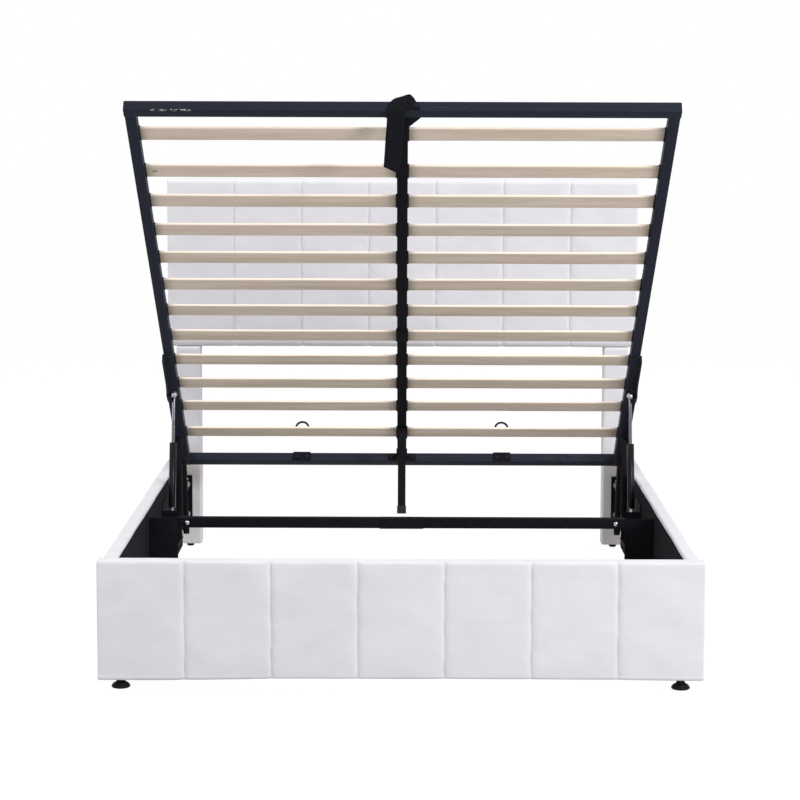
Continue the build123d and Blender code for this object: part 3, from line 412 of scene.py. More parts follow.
finishes = {"velvet": velvet, "board_wood": board_wood, "lining": lining, "slat_wood": slat_wood,
            "black_steel": black_steel, "zinc": zinc, "rod_chrome": rod_chrome,
            "black_plastic": black_plastic, "black_rubber": black_rubber}
print("finishes", sorted(finishes))

# %% [markdown]
# ## Keeping the CAD pieces, with softer edges
# Real metal has no razor edges, and the line of light along a rounded edge tells the eye how thick
# it is. Each rigid CAD piece is copied, its doubled points are merged, flat faces are joined, and a
# Bevel modifier rounds the edges.

# %% Round off a copy of a CAD piece
same_point = 0.00002
flat_angle = radians(1)
edge_angle = radians(35)


def settle(piece, body, slot, replaced=()):
    """Puts a finished piece into the scene: what it moves with, its finish and what it stands for."""
    scene.collection.objects.link(piece)
    if not piece.data.materials:
        piece.data.materials.append(finishes[slot])
    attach(piece, body)
    if replaced:
        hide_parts(*replaced)
    return piece


def eased(cad_node, width, material=None, steps=2):
    """A copy of a CAD piece whose edges of more than the edge angle are rounded to a width."""
    source = frame["nodes"][cad_node]
    shape = bmesh.new()
    shape.from_mesh(source.data)
    bmesh.ops.remove_doubles(shape, verts=shape.verts, dist=same_point)
    bmesh.ops.dissolve_limit(shape, angle_limit=flat_angle, verts=shape.verts, edges=shape.edges)
    mesh = bpy.data.meshes.new(cad_node + "_eased")
    shape.to_mesh(mesh)
    shape.free()
    mesh.polygons.foreach_set("use_smooth", [True] * len(mesh.polygons))
    piece = bpy.data.objects.new(cad_node + "_eased", mesh)
    bevel = piece.modifiers.new("edges", "BEVEL")
    bevel.width = width
    bevel.segments = steps
    bevel.limit_method = "ANGLE"
    bevel.angle_limit = edge_angle
    bevel.harden_normals = True
    if material:
        mesh.materials.append(material)
    return settle(piece, source["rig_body"], slot_of[cad_node], [cad_node])


# %% [markdown]
# A table gives some pieces their own edges and finish. Others are made further on, the boards
# inside stay plain, and all the rest gets a plate's narrow edges.

# %% Tubes, arms, plates and boards
tube_round = 0.0028
plate_round = 0.0007
arm_round = 0.0012


def both(stem):
    """The names of a piece on the left and on the right."""
    return [stem + "_left", stem + "_right"]


# pieces, width of the edge, finish and steps of the rounding
eased_groups = [
    (["deck_foot_bar"], tube_round, chipped_steel, 3),
    (both("deck_side_tube") + ["deck_head_bar"], tube_round, black_steel, 3),
    (["centre_bar_head", "centre_bar_foot"] + both("crossbar") + ["centre_leg"], tube_round, matt_steel, 3),
    (both("rear_arm") + both("front_arm"), arm_round, arm_steel, 2),
    (both("lift_bracket"), plate_round, black_steel, 2),
    (both("strut_tube"), plate_round, strut_paint, 2),
    (["deck_pivot_pins"], plate_round, matt_steel, 2)]
made_by_hand = both("slats") + both("rail_cover") + both("headboard_leg") + [
    "headboard_cover", "footboard_cover", "pull_strap", "frame_fasteners", "deck_bolts", "front_feet",
    "rear_glides", "retainer_hoops"]
kept_plain = ["headboard_core", "footboard_core"] + both("side_rail") + both("rail_lining")

spoken_for = set(made_by_hand + kept_plain)
for names, width, finish, steps in eased_groups:
    for name in names:
        eased(name, width, finish, steps)
    spoken_for.update(names)
for name in sorted(set(frame["nodes"]) - spoken_for):
    eased(name, plate_round, matt_steel if slot_of[name] == "black_steel" else None)
for name in kept_plain:
    frame["nodes"][name].data.materials.clear()
    frame["nodes"][name].data.materials.append(finishes[slot_of[name]])

# %% [markdown]
# ## Surfaces from grids
# A new piece starts as a grid of points, which numpy works out at once, and every four neighbours
# become a face. Where a row shrinks to a point or a line, the doubled points are merged.

# %% Turn a grid of points into a mesh
weld_distance = 0.00001


def grid_piece(name, points):
    """Joins grids of points (grids x rows x columns x 3) by quads. Each row closes on itself."""
    points = points.reshape(-1, *points.shape[-3:])
    grids, rows, columns = points.shape[:3]
    index = np.arange(grids * rows * columns).reshape(grids, rows, columns)
    index = np.concatenate([index, index[:, :, :1]], axis=2)
    quads = np.stack([index[:, :-1, :-1], index[:, :-1, 1:], index[:, 1:, 1:], index[:, 1:, :-1]], axis=-1)
    mesh = bpy.data.meshes.new(name)
    mesh.from_pydata(points.reshape(-1, 3).tolist(), [], quads.reshape(-1, 4).tolist())
    shape = bmesh.new()
    shape.from_mesh(mesh)
    bmesh.ops.remove_doubles(shape, verts=shape.verts, dist=weld_distance)
    bmesh.ops.recalc_face_normals(shape, faces=shape.faces)
    shape.to_mesh(mesh)
    shape.free()
    mesh.polygons.foreach_set("use_smooth", [True] * len(mesh.polygons))
    return bpy.data.objects.new(name, mesh)


def rounded_rectangle(half_wide, half_high, radius, step, corner_steps=6):
    """Outline of a rectangle with quarter circles at its corners, and the outward direction there."""
    turns = np.linspace(0, pi / 2, corner_steps + 1)
    signs = [(1, 1), (-1, 1), (-1, -1), (1, -1)]
    outline, outward = [], []
    for quarter, (side_wide, side_high) in enumerate(signs):
        away = np.stack([np.cos(turns + quarter * pi / 2), np.sin(turns + quarter * pi / 2)], axis=1)
        centre = np.array([side_wide * (half_wide - radius), side_high * (half_high - radius)])
        run = 2 * ((half_wide, half_high)[quarter % 2] - radius)
        count = max(2, int(run / step))
        onward = np.array([-away[-1][1], away[-1][0]])
        straight = (np.arange(1, count) / count)[:, None] * run * onward
        outline.append(np.concatenate([centre + radius * away, centre + radius * away[-1] + straight]))
        outward.append(np.concatenate([away, np.repeat(away[-1:], count - 1, axis=0)]))
    return np.concatenate(outline), np.concatenate(outward)


def unit(vectors):
    """The same directions with length one."""
    return vectors / np.linalg.norm(vectors, axis=-1, keepdims=True)


def ripple(along, seed, waves=5):
    """An uneven line from -1 to 1: a sum of sine waves, each half as long as the last, with seeded
    phases. Along counts in lengths of the longest wave."""
    lengths = 2.0 ** -np.arange(waves)
    phases = np.random.default_rng(seed).uniform(0, 2 * pi, waves)
    return np.sin(2 * pi * along[..., None] / lengths + phases) @ (lengths / lengths.sum())


# %% [markdown]
# ## Padded boards
# Headboard, footboard and legs are boards wrapped in foam and velvet: a rounded rectangle carried
# along the board. At the ends the section is drawn in along a quarter circle, and then flat to a
# line. A bump function then moves each point out or in.

# %% Carry a rounded section along a board
def padded_bar(name, low, high, along, radius, end_round, stations, bump, step):
    """Section times length: ring(s, t) = core(s) + (radius - inset(t)) * outward(s), where the inset
    grows along a quarter circle at each end. Then every point moves outward by its bump."""
    low, high = np.array(low), np.array(high)
    square = [axis for axis in range(3) if axis != along]
    middle, half = (low + high) / 2, (high - low) / 2
    outline, outward = rounded_rectangle(*half[square], radius, step)
    near_end = np.minimum(stations - low[along], high[along] - stations)
    missing = np.clip(end_round - near_end, 0, end_round)
    inset = end_round - np.sqrt(end_round ** 2 - missing ** 2)
    ring = (outline - radius * outward)[None] + (radius - inset)[:, None, None] * outward[None]
    points = np.zeros((len(stations), len(outline), 3))
    points[..., square] = middle[square] + ring
    points[..., along] = stations[:, None]
    normals = np.zeros_like(points)
    normals[..., square] = outward
    points += normals * bump(points, normals)[..., None]
    reach = half - min(half[square])
    reach[along] = half[along]
    line = middle + np.clip(points[[0, -1]] - middle, -reach, reach)
    halfway = (points[[0, -1]] + line) / 2
    points = np.concatenate([line[:1], halfway[:1], points, halfway[1:], line[1:]])
    return grid_piece(name, points)


# %% [markdown]
# Head- and footboard are sewn in channels: beside each seam the pad drops away as an exponential,
# steep at the thread. It pulls small puckers into the velvet, and no seam is quite straight.

# %% Sewn channels
seam_fall = 0.006
seam_sway, sway_length = 0.0006, 0.45
pucker_reach, pucker_length = 0.034, 0.11
pucker_per_seam, pucker_per_side, pucker_slant = 3.7, 1.3, 9
loose_depth, loose_length, loose_slant = 0.0006, 0.31, 2.1
slack_depth, slack_length_x, slack_length_z = 0.0006, 0.7, 0.4
top_roll, top_roll_reach = 0.0035, 0.008
front_limit = 0.25
drawn_in = 0.0004
fine_step, coarse_step, fine_reach = 0.0018, 0.0075, 0.022


def sway(z, seams, seed):
    """How far each seam strays sideways at a height, with the seams along the last axis."""
    return np.stack([seam_sway * ripple(z / sway_length, seed + k) for k in range(len(seams))], axis=-1)


def channel_relief(x, z, seams, crown, belly, pucker, seed):
    """How far the pad stands behind its plain front: the seam's fall, the channel's belly and the
    puckers, all as functions of the distance to the nearest seam."""
    offsets = x[..., None] - (seams + sway(z, seams, seed))
    nearest = np.abs(offsets).argmin(axis=-1)
    offset = np.take_along_axis(offsets, nearest[..., None], axis=-1)[..., 0]
    distance, side = np.abs(offset), np.sign(offset)
    half_pitch = (seams[1] - seams[0]) / 2
    fall = crown * np.exp(-distance / seam_fall)
    sag = belly * (1 - np.clip(distance / half_pitch, 0, 1)) ** 2
    phase = nearest * pucker_per_seam + side * pucker_per_side + distance * side * pucker_slant
    folds = ripple(z / pucker_length + phase, seed + 50, waves=4)
    puckers = pucker * folds * np.exp(-distance / pucker_reach)
    loose = loose_depth * ripple(z / loose_length + x * loose_slant, seed + 90, waves=3)
    return fall + sag - puckers + loose


def stations_along(half_width, seams, end_round):
    """Places along X, close together beside the seams and round the ends."""
    plain = np.arange(-half_width, half_width, coarse_step)
    near = np.arange(-fine_reach, fine_reach + fine_step / 2, fine_step)
    beside = (seams[:, None] + near[None]).ravel()
    away = np.abs(plain[:, None] - seams[None]).min(axis=1) > fine_reach
    rounding = half_width - end_round * (1 - np.sin(np.linspace(0, pi / 2, 7)))
    places = np.concatenate([plain[away & (np.abs(plain) < rounding[0])], beside, rounding, -rounding])
    return np.unique(np.round(places[np.abs(places) <= half_width + 1e-9], 6))


def channelled_board(name, cad_node, channels, crown, belly, pucker, radius, end_round, step, seed, hang):
    """A padded board with sewn channels on its front, in the box of its CAD piece. Hang gives the
    velvet's sag under the board along X. Returns where the seams run, in X."""
    low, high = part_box(cad_node)
    seams = np.linspace(-high.x, high.x, channels + 1)[1:-1]

    def bump(points, normals):
        relief = channel_relief(points[..., 0], points[..., 2], seams, crown, belly, pucker, seed)
        relief = relief + top_roll * np.exp(-(high.z - points[..., 2]) / top_roll_reach)
        front = np.clip((front_limit - normals[..., 1]) / (front_limit + 1), 0, 1)
        phase = points[..., 0] / slack_length_x + points[..., 2] / slack_length_z
        slack = slack_depth * ripple(phase, seed + 7, waves=4)
        below = np.clip(-normals[..., 2], 0, 1) * hang(points[..., 0])
        return -relief * front + slack * (1 - front) + below - drawn_in

    stations = stations_along(high.x, seams, end_round)
    piece = padded_bar(name, low, high, 0, radius, end_round, stations, bump, step)
    settle(piece, "bed_base", "velvet", [cad_node])
    print(name, "faces", len(piece.data.polygons))
    return seams


# %% [markdown]
# The headboard's velvet is pulled tight, with no sag below. The footboard's hangs a little under the
# board, more at its corners and most at the left.

# %% Headboard and footboard
sag_middle, sag_left, sag_right = 0.0012, 0.0058, 0.0030


def smooth_step(value, start, end):
    """0 before start, 1 beyond end, and 3 s squared minus 2 s cubed between them."""
    s = np.clip((value - start) / (end - start), 0, 1)
    return s ** 2 * (3 - 2 * s)


def loose_corners(x):
    """A little sag under the board, which grows by a smooth step towards each corner."""
    return (sag_middle + sag_left * smooth_step(-x, start=0.25, end=0.67)
            + sag_right * smooth_step(x, start=0.50, end=0.78))


headboard_seams = channelled_board(
    "headboard_velvet", "headboard_cover", channels=7, crown=0.0075, belly=0.0010, pucker=0.0011,
    radius=0.018, end_round=0.008, step=0.0048, seed=11,
    hang=np.zeros_like)
footboard_seams = channelled_board(
    "footboard_velvet", "footboard_cover", channels=7, crown=0.0050, belly=0.0006, pucker=0.0009,
    radius=0.008, end_round=0.004, step=0.0034, seed=31, hang=loose_corners)

# %% [markdown]
# A row of small stitches lies in each seam. A stitch is a short rod with tapered ends and only a few
# faces, because there are hundreds.

# %% Stitches along the seams
stitch_length = 0.0052
stitch_pitch = 0.0075
stitch_radius = 0.0006
stitch_sides = 6
stitch_radii = np.array([0, 0.8, 1, 0.8, 0]) * stitch_radius
stitch_rise = np.array([-0.5, -0.4, 0, 0.4, 0.5]) * stitch_length


def full_turn(sides):
    """The angles of a ring's corners."""
    return np.arange(sides) / sides * 2 * pi


def stitch_rows(name, cad_node, seams, depth, margin, seed):
    """Short tapered rods on the seam lines, each a ring profile of radius r(t) along Z."""
    low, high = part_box(cad_node)
    heights = np.arange(low.z + margin, high.z - margin, stitch_pitch)
    x = seams[:, None] + sway(heights, seams, seed).T
    turns = full_turn(stitch_sides)
    points = np.zeros((*x.shape, len(stitch_radii), stitch_sides, 3))
    points[..., 0] = x[..., None, None] + stitch_radii[:, None] * np.cos(turns)
    points[..., 1] = low.y + depth + stitch_radii[:, None] * np.sin(turns)
    points[..., 2] = heights[:, None, None] + stitch_rise[:, None]
    settle(grid_piece(name, points), "bed_base", "velvet")
    print(name, "stitches", x.size)


stitch_rows("headboard_stitches", "headboard_cover", headboard_seams, depth=0.0086, margin=0.030, seed=11)
stitch_rows("footboard_stitches", "footboard_cover", footboard_seams, depth=0.0055, margin=0.018, seed=31)

# %% [markdown]
# ## Legs
# The headboard's legs are timber wrapped in velvet. Slow bends run down the cloth, and it gathers
# close to the floor.

# %% Wrapped legs
leg_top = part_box("headboard_cover")[0].z


def leg_cover(side, seed, bend=0.0007, bend_length=0.5, bend_slant=4, gather=0.0009, gather_x=0.05,
              gather_y=0.06, fade=0.03, drawn_in=0.0006, gather_zone=0.040, plain_gap=0.005, top_gap=0.004):
    """A padded bar along Z up to the headboard's underside, with bends and gathers."""
    low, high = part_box("headboard_leg_" + side)

    def bump(points, normals):
        x, y, z = np.moveaxis(points, -1, 0)
        slow = bend * ripple(z / bend_length + x * bend_slant, seed, waves=3)
        gathers = gather * ripple(x / gather_x + y / gather_y, seed + 1, waves=3)
        return slow + gathers * np.exp(-(z - low.z) / fade) - drawn_in

    gathered = np.linspace(low.z, low.z + gather_zone, 24)
    plain = np.linspace(low.z + gather_zone + plain_gap, leg_top - top_gap, 90)
    stations = np.concatenate([gathered, plain, [leg_top]])
    leg = padded_bar("leg_velvet_" + side, low, (high.x, high.y, leg_top), along=2, radius=0.008,
                     end_round=0.004, stations=stations, bump=bump, step=0.006)
    settle(leg, "bed_base", "velvet", ["headboard_leg_" + side])


leg_cover("left", seed=70)
leg_cover("right", seed=80)
print("leg covers", 2)

# %% [markdown]
# ## Rails
# Each rail's cover is pulled over the board's top into the well. Where two lengths of velvet meet, a
# seam crosses the rail as a narrow groove.

# %% Rail covers
rail_foam = 0.008
rail_round = 0.009
rail_fold = 0.003
rail_lip_gap = 0.002
rail_seam_y = 0.325
back_points, lip_points = 50, 8
end_zone, end_gap = 0.020, 0.005
seam_zone, seam_gap = 0.028, 0.002


def rail_outline(inner, outer, board_back, bottom, top):
    """The hooked section of a rail cover in (x, z): up inside the well, over the board's top with
    two quarter circles, down outside, and back under the foam along the board."""
    turns = np.linspace(0, pi / 2, 8)
    rise, level = rail_round * (1 - np.sin(turns)), rail_round * (1 - np.cos(turns))
    inside = np.stack([inner + level, top - rise], 1)
    outside = np.stack([outer - rise, top - level], 1)
    across_top = np.linspace(inside[-1], outside[0], 9)[1:-1]
    down = np.linspace(outside[-1], (outer, bottom + rail_fold), 60)[1:]
    under = np.linspace((outer - rail_fold, bottom), (board_back, bottom), 3)
    back_up = np.linspace((board_back, bottom + rail_fold), (board_back, top - rail_foam), back_points)
    lip = np.linspace((board_back - rail_lip_gap, top - rail_foam), (inner, top - rail_foam), lip_points)
    return np.concatenate([inside, across_top, outside, down, under, back_up, lip])


def rail_cover(side, name, seed, bend=0.0010, bend_length=0.6, bend_slant=1.7, pucker=0.0009,
               pucker_round=14, pucker_along=6, fade=0.02, groove=0.0028, reach=0.006, drawn_in=0.0008):
    """The hooked section carried along the rail. Points of the outer skin move by slow waves, and a
    narrow exponential groove crosses at the seam."""
    low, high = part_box("rail_cover_right")
    board_back = high.x - rail_foam
    outline = rail_outline(low.x, high.x, board_back, low.z, high.z)
    seam_from, seam_to = rail_seam_y - seam_zone, rail_seam_y + seam_zone
    along = np.concatenate([np.linspace(low.y, low.y + end_zone, 8),
                            np.linspace(low.y + end_zone + end_gap, seam_from - seam_gap, 180),
                            np.linspace(seam_from, seam_to, 40),
                            np.linspace(seam_to + seam_gap, high.y, 100)])
    on_skin = np.arange(len(outline)) < len(outline) - back_points - lip_points
    around = np.arange(len(outline)) / len(outline)
    slow = bend * ripple(along[:, None] / bend_length + around * bend_slant, seed, waves=5)
    puckers = pucker * ripple(around * pucker_round + along[:, None] * pucker_along, seed + 3, waves=3)
    from_seam = np.abs(along[:, None] - rail_seam_y)
    seam = puckers * np.exp(-from_seam / fade) - groove * np.exp(-from_seam / reach)
    push = (slow + seam - drawn_in) * on_skin
    onward = np.roll(outline, -1, axis=0) - np.roll(outline, 1, axis=0)
    outward = unit(np.stack([-onward[:, 1], onward[:, 0]], axis=1))
    points = np.zeros((len(along), len(outline), 3))
    points[..., [0, 2]] = (outline + push[..., None] * outward) * (side, 1)
    points[..., 1] = along[:, None]
    spine = np.array([side * (board_back + rail_foam / 2), 0, 0]) * np.ones((2, len(outline), 3))
    spine[..., 1] = np.array([low.y, high.y])[:, None]
    spine[..., 2] = np.clip(points[[0, -1], :, 2], low.z + rail_foam / 2, high.z - rail_foam / 2)
    points = np.concatenate([spine[:1], points, spine[1:]])
    piece = settle(grid_piece("rail_velvet_" + name, points), "bed_base", "velvet", ["rail_cover_" + name])


rail_cover(-1, "left", seed=140)
rail_cover(1, "right", seed=120)
print("rail covers", 2)

# %% [markdown]
# ## Turned and bent fittings
# Feet, glides and bolt heads are turned: a profile goes once round an axis. A bolt's socket is
# six-sided, so its radius changes with the angle.

# %% Turn a profile round an axis
upward = (0, 0, 1)
rightward = (1, 0, 0)
socket_share = 0.72
dome_foot_share = 0.28
dome_turn = radians(62)


def lathe(profile, places, axis, start, sides=24):
    """Rings of radius r and height h: point = place + h * axis + r * (cos a * u + sin a * v). The
    profile may give its radii as rows that already change with the angle."""
    axis, start = Vector(axis).normalized(), Vector(start)
    u = unit(np.array(start - axis * start.dot(axis)))
    v = np.cross(np.array(axis), u)
    turns = full_turn(sides)
    radii = np.stack([np.broadcast_to(r, sides) for r, h in profile])
    heights = np.array([h for r, h in profile])
    ring = radii[..., None] * (np.cos(turns)[:, None] * u + np.sin(turns)[:, None] * v)
    shape = heights[:, None, None] * np.array(axis) + ring
    return np.array(places).reshape(-1, 1, 1, 3) + shape[None]


def hexagon(across_flats, sides=24):
    """The radius of a six-sided outline at each angle: half the flats' distance over the cosine of
    the angle from the nearest flat's middle."""
    return across_flats / 2 / np.cos((full_turn(sides) + pi / 6) % (pi / 3) - pi / 6)


def button_head(radius, height):
    """A low domed bolt head with a six-sided socket: its seat, its dome and its socket, all in shares
    of its radius and height."""
    socket = hexagon(radius * socket_share)
    seat = [(0, 0), (0.97 * radius, 0), (radius, 0.1 * height)]
    dome = [(radius * cos(turn), height * (dome_foot_share + (1 - dome_foot_share) * sin(turn)))
            for turn in np.linspace(0, dome_turn, 6)]
    bore = [(1.04 * socket, height), (socket, 0.92 * height), (0.98 * socket, 0.35 * height),
            (0, 0.28 * height)]
    return seat + dome + bore


# %% [markdown]
# A front foot is a disc with a domed neck and a stem up to the frame. A glide is a low button.

# %% Feet and glides
foot_radius = 0.025
foot_edge_round = 0.0045
stem_radius = 0.010
frame_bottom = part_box("footboard_cover")[0].z
foot_edge = [(foot_radius - foot_edge_round * (1 - cos(turn)), foot_edge_round * (1 + sin(turn)))
             for turn in np.linspace(-pi / 2, pi / 2, 9)]
foot_neck = [(0.0215, 0.0110), (0.0175, 0.0134), (0.0135, 0.0158), (0.0112, 0.0190), (stem_radius, 0.024)]
foot_stem = [(stem_radius, frame_bottom), (0, frame_bottom)]
foot_profile = [(0, 0), (0.012, 0)] + foot_edge + foot_neck + foot_stem
glide_radius = 0.013
glide_profile = [(0, 0), (0.006, 0.0), (0.0098, 0.0009), (0.0122, 0.003), (glide_radius, 0.006),
                 (0.0128, 0.010), (0.012, 0.0132), (0, 0.0132)]


def turned_pair(name, cad_node, profile, radius, sides):
    """A turned fitting on each side, as far apart as the CAD piece has them."""
    low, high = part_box(cad_node)
    x, y = high.x - radius, (low.y + high.y) / 2
    points = lathe(profile, [(-x, y, 0), (x, y, 0)], upward, rightward, sides)
    settle(grid_piece(name, points), "bed_base", "black_plastic", [cad_node])


turned_pair("turned_feet", "front_feet", foot_profile, foot_radius, sides=40)
turned_pair("turned_glides", "rear_glides", glide_profile, glide_radius, sides=32)

# %% [markdown]
# ## Slats
# Twelve rows of slats lie across the deck, each in two halves. A slat is a flat strip with rounded
# edges, and the saw leaves it a little uneven.

# %% Slats
slat_width, slat_thickness, slat_round = 0.055, 0.008, 0.0024
slat_middle = 0.018
slat_rows = [0.200] + [0.374 + 0.146 * row for row in range(10)] + [1.862]
slat_low, slat_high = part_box("slats_right")
slat_start, slat_length = slat_low.x, slat_high.x - slat_low.x
slat_end_inset, slat_end_step = 0.001, 0.0003


def slat_half(side, row, seed, rise=0.0003, rise_length=0.5):
    """Section times length: at each place along X the rounded rectangle of the slat's section, drawn
    in at both ends, and raised by an uneven line of a third of a millimetre."""
    outline, outward = rounded_rectangle(slat_width / 2, slat_thickness / 2, slat_round,
                                         step=0.011, corner_steps=3)
    stations = np.concatenate([[0, slat_end_step],
                               np.linspace(slat_end_inset, slat_length - slat_end_inset, 24),
                               [slat_length - slat_end_step, slat_length]])
    near_end = np.minimum(stations, slat_length - stations)
    inset = np.clip(slat_end_inset - near_end, 0, slat_end_inset)
    ring = outline[None] - inset[:, None, None] * outward[None]
    ring = np.concatenate([ring[:1] * [1, 0], ring, ring[-1:] * [1, 0]])
    stations = np.concatenate([stations[:1], stations, stations[-1:]])
    x = side * (slat_start + stations)[:, None]
    uneven = slat_middle + rise * ripple(stations / rise_length, seed, waves=3)[:, None]
    return on_deck(x, ring[..., 0] - row, ring[..., 1] + uneven)


for side, name in ((-1, "left"), (1, "right")):
    halves = np.stack([slat_half(side, row, 200 + 2 * k + (side > 0)) for k, row in enumerate(slat_rows)])
    settle(grid_piece("wooden_slats_" + name, halves), "deck", "slat_wood", ["slats_" + name])
print("slats", 2 * len(slat_rows))

# %% [markdown]
# ## Bolts
# Each row of a table gives a head's radius and height, its places on the right and the way it faces.
# The left side mirrors them.

# %% Bolts of the frame
rail_face_x = 0.747
rail_bolts = [(-1.005, 0.130), (-1.005, 0.250), (-0.201, 0.130), (-0.201, 0.2345), (0.249, 0.165),
              (0.4528, 0.178), (0.7338, 0.122), (0.8218, 0.078)]
crossbar_low, crossbar_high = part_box("crossbar_right")
crossbar_mid = (crossbar_low.z + crossbar_high.z) / 2
crossbar_bolt_x = 0.6365
frame_bolts = [
    (0.008, 0.004, [(rail_face_x, y, z) for y, z in rail_bolts], (-1, 0, 0)),
    (0.008, 0.004, [(0.727, -1.022, z) for z in (0.130, 0.250)], (0, 1, 0)),
    (0.0065, 0.0042, [(crossbar_bolt_x, crossbar_low.y, crossbar_mid)], (0, -1, 0)),
    (0.008, 0.004, [(crossbar_bolt_x, crossbar_high.y, crossbar_mid)], (0, 1, 0)),
    (0.004, 0.002, [(0.7455, 0.992, z) for z in (0.240, 0.136)], (0, -1, 0)),
    (0.004, 0.002, [(0.761, 0.972, z) for z in (0.223, 0.119)], (-1, 0, 0))]
frame_heads = [lathe(button_head(radius, height), np.array(places) * (side, 1, 1),
                     np.array(axis) * (side, 1, 1), upward)
               for side in (-1, 1) for radius, height, places, axis in frame_bolts]
frame_heads = np.concatenate(frame_heads)
settle(grid_piece("frame_bolt_heads", frame_heads), "bed_base", "zinc", ["frame_fasteners"])
print("frame bolts", len(frame_heads))

# %% [markdown]
# The deck's bolts hold its brackets, the retainer plates and the pull strap.

# %% Bolts of the deck
tube_middle = tube_size / 2
bracket_bolt_y = -0.033
foot_bracket_bolt_y = -1.957
foot_bar_face = -1.990
strap_thickness = 0.003
# radius and height, x, y and z on the level deck, the way it faces and where its ring starts
deck_bolts = [
    (0.006, 0.0035, [0.3175, 0.3525, 0.032], bracket_bolt_y, tube_middle, -deck_along, deck_normal),
    (0.006, 0.0035, [0.032], foot_bracket_bolt_y, tube_middle, deck_along, deck_normal),
    (0.008, 0.004, [0.721, 0.721], [-0.697, -0.498], -0.004, -deck_normal, deck_along)]
deck_heads = [lathe(button_head(radius, height), on_deck(side * np.array(x), y, z), axis, start)
              for side in (-1, 1) for radius, height, x, y, z, axis, start in deck_bolts]
deck_heads = np.concatenate(deck_heads)
strap_bolt_place = on_deck(0.0368, foot_bar_face - strap_thickness, tube_middle)
strap_head = lathe(button_head(0.0058, 0.003), strap_bolt_place, -deck_along, deck_normal)
settle(grid_piece("deck_bolt_heads", deck_heads), "deck", "black_steel", ["deck_bolts"])
settle(grid_piece("strap_bolt_head", strap_head), "deck", "black_steel", ["deck_bolts"])
print("deck bolts", len(deck_heads) + len(strap_head))

# %% [markdown]
# ## Mattress retainers
# A retainer is a rod bent into a hoop that stands on the lowest slat: a leg, half a circle, a leg.

# %% Retainer hoops
def rod_along(path, across, radius, sides=14):
    """A round rod: at each path point a ring in the plane of a fixed direction across the path and
    the direction square to both."""
    beside = np.cross(unit(np.gradient(path, axis=0)), across)
    turns = full_turn(sides)[:, None]
    rings = path[:, None] + radius * (np.cos(turns) * across + np.sin(turns) * beside[:, None])
    ends = np.repeat(path[[0, -1]][:, None], sides, axis=1)
    return np.concatenate([ends[:1], rings, ends[1:]])


hoop_x, hoop_y, hoop_foot, hoop_top = 0.328, -0.200, 0.022, 0.0535
hoop_half, rod_radius = 0.020, 0.0035
leg_points = 11
shoulder = hoop_top - hoop_half
bow = np.linspace(0, pi, 25)
leg_heights = np.linspace(hoop_foot, shoulder, leg_points + 1)[:-1]
leg_reach = np.full(leg_points, hoop_half)
hoop_reach = np.concatenate([-leg_reach, -hoop_half * np.cos(bow), leg_reach])
hoop_heights = np.concatenate([leg_heights, shoulder + hoop_half * np.sin(bow), leg_heights[::-1]])
paths = [on_deck(side * hoop_x + hoop_reach, hoop_y, hoop_heights) for side in (-1, 1)]
hoops = np.stack([rod_along(path, deck_along, rod_radius) for path in paths])
settle(grid_piece("bent_hoops", hoops), "deck", "black_steel", ["retainer_hoops"])

# %% [markdown]
# ## Pull strap
# The strap is a strip of woven webbing. Its ribs and cords follow the strap's own map: how far
# across it and how far along it a point lies.

# %% Webbing finish
cloth_unit = 0.05
webbing_dark = (0.005, 0.005, 0.007)
webbing_light = (0.014, 0.015, 0.019)
webbing, net, shader, place = new_material("webbing", Roughness=0.85, Specular_IOR_Level=0.05)
own_map = node(net, "UVMap").outputs["UV"]
ribs = node(net, "TexWave", {"Vector": own_map, "Scale": 95.0, "Distortion": 0.4}, bands_direction="Y")
cords = node(net, "TexWave", {"Vector": own_map, "Scale": 42.0, "Distortion": 0.3}, bands_direction="X")
weave = add_up(net, (ribs.outputs["Fac"], 0.6), (cords.outputs["Fac"], 0.4))
finish_with(net, shader, blend(net, weave, webbing_dark, webbing_light), height=weave,
            depth=0.0006, strength=0.7)
finishes["webbing"] = webbing

# %% [markdown]
# One end is bolted to the foot bar's outer face. The strap stands up over the bar, folds to the
# left, and its free end hangs in front. A few stations are listed: each gives the middle's place,
# the width and how the width leans.

# %% Stations of the strap
# x of the middle, distance before the bar, height on the deck, width, lean of the width
on_bar = np.array([
    (0.0225, 0.0017, 0.003, 0.048, 0.00), (0.0215, 0.0017, 0.012, 0.048, -0.02),
    (0.0185, 0.0020, 0.024, 0.047, -0.08), (0.0140, 0.0026, 0.034, 0.044, -0.14),
    (0.0085, 0.0038, 0.0405, 0.041, 0.06), (0.0020, 0.0056, 0.0425, 0.041, 0.24),
    (-0.0050, 0.0078, 0.0385, 0.043, 0.27), (-0.0095, 0.0085, 0.028, 0.045, 0.16),
    (-0.0120, 0.0068, 0.014, 0.048, 0.04), (-0.0145, 0.0056, 0.001, 0.049, 0.00)])
# x of the middle, distance below the bar's edge, width, lean
below_bar = np.array([(-0.0185, 0.045, 0.048, -0.02), (-0.0215, 0.085, 0.048, -0.04),
                      (-0.0245, 0.125, 0.047, -0.12), (-0.0310, 0.160, 0.041, -0.42)])
tail_before_edge = 0.002
edge = on_deck(0, foot_bar_face - on_bar[-1, 1], 0)
tail_y = np.full(len(below_bar), edge[1] - tail_before_edge)
middles = np.concatenate([on_deck(on_bar[:, 0], foot_bar_face - on_bar[:, 1], on_bar[:, 2]),
                          np.column_stack([below_bar[:, 0], tail_y, edge[2] - below_bar[:, 1]])])
widths_and_leans = np.concatenate([on_bar[:, 3:], below_bar[:, 2:]])

# %% [markdown]
# A smooth curve runs through the stations, and the cloth's section, flat and a little curled, is
# laid across it.

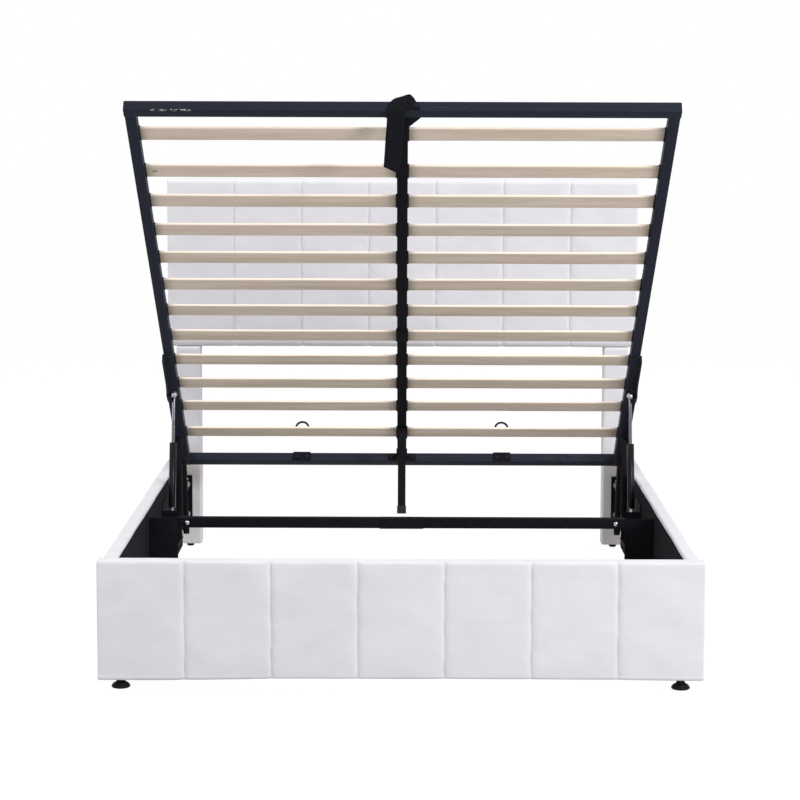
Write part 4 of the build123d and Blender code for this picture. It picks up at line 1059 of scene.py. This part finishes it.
# %% Lay the strap
def smooth_through(stations, values, places):
    """A curve through stations: between two of them a cubic whose slopes are those of the line
    through their neighbours."""
    slopes = np.gradient(values, stations, axis=0)
    cell = np.clip(np.searchsorted(stations, places) - 1, 0, len(stations) - 2)
    span = (stations[cell + 1] - stations[cell])[:, None]
    t = (places - stations[cell])[:, None] / span
    return ((2 * t ** 3 - 3 * t ** 2 + 1) * values[cell] + (t ** 3 - 2 * t ** 2 + t) * span * slopes[cell]
            + (3 * t ** 2 - 2 * t ** 3) * values[cell + 1] + (t ** 3 - t ** 2) * span * slopes[cell + 1])


strap_rows, strap_columns = 150, 13
curl_depth, curl_length, curl_slant = 0.0007, 0.08, 0.4
steps = np.linalg.norm(np.diff(middles, axis=0), axis=1)
stations = np.concatenate([[0], np.cumsum(steps)])
strap_length = stations[-1]
places = np.linspace(0, strap_length, strap_rows)
route = smooth_through(stations, np.column_stack([middles, widths_and_leans]), places)
centre, width, lean = route[:, :3], route[:, 3], route[:, 4]
sideways = np.stack([np.cos(lean), np.zeros_like(lean), np.sin(lean)], axis=1)
facing = unit(np.cross(sideways, unit(np.gradient(centre, axis=0))))

share = np.concatenate([np.linspace(-1, 1, strap_columns), np.linspace(1, -1, strap_columns)[1:-1]])
skin = np.concatenate([[0], np.ones(strap_columns - 2), [0], -np.ones(strap_columns - 2)])
curl = curl_depth * ripple(places[:, None] / curl_length + share[None] * curl_slant, 5, waves=3)
across = share[None, :, None] * width[:, None, None] / 2 * sideways[:, None]
strap_points = centre[:, None] + across + (skin * strap_thickness / 2 + curl)[..., None] * facing[:, None]
ends = strap_points.mean(axis=1, keepdims=True) + across
strap_points = np.concatenate([ends[:1], strap_points, ends[-1:]])
strap = grid_piece("strap_webbing", strap_points)

coordinates = np.empty(len(strap.data.vertices) * 3)
strap.data.vertices.foreach_get("co", coordinates)
coordinates = coordinates.reshape(-1, 3)
nearest = ((coordinates[:, None] - centre[None]) ** 2).sum(axis=2).argmin(axis=1)
from_middle = ((coordinates - centre[nearest]) * sideways[nearest]).sum(axis=1)
loops = np.empty(len(strap.data.loops), int)
strap.data.loops.foreach_get("vertex_index", loops)
strap_map = np.stack([from_middle, places[nearest]], axis=1) / cloth_unit
strap.data.uv_layers.new(name="UVMap").data.foreach_set("uv", strap_map[loops].ravel())
settle(strap, "deck", "webbing", ["pull_strap"])
print("strap length", round(float(strap_length), 3))
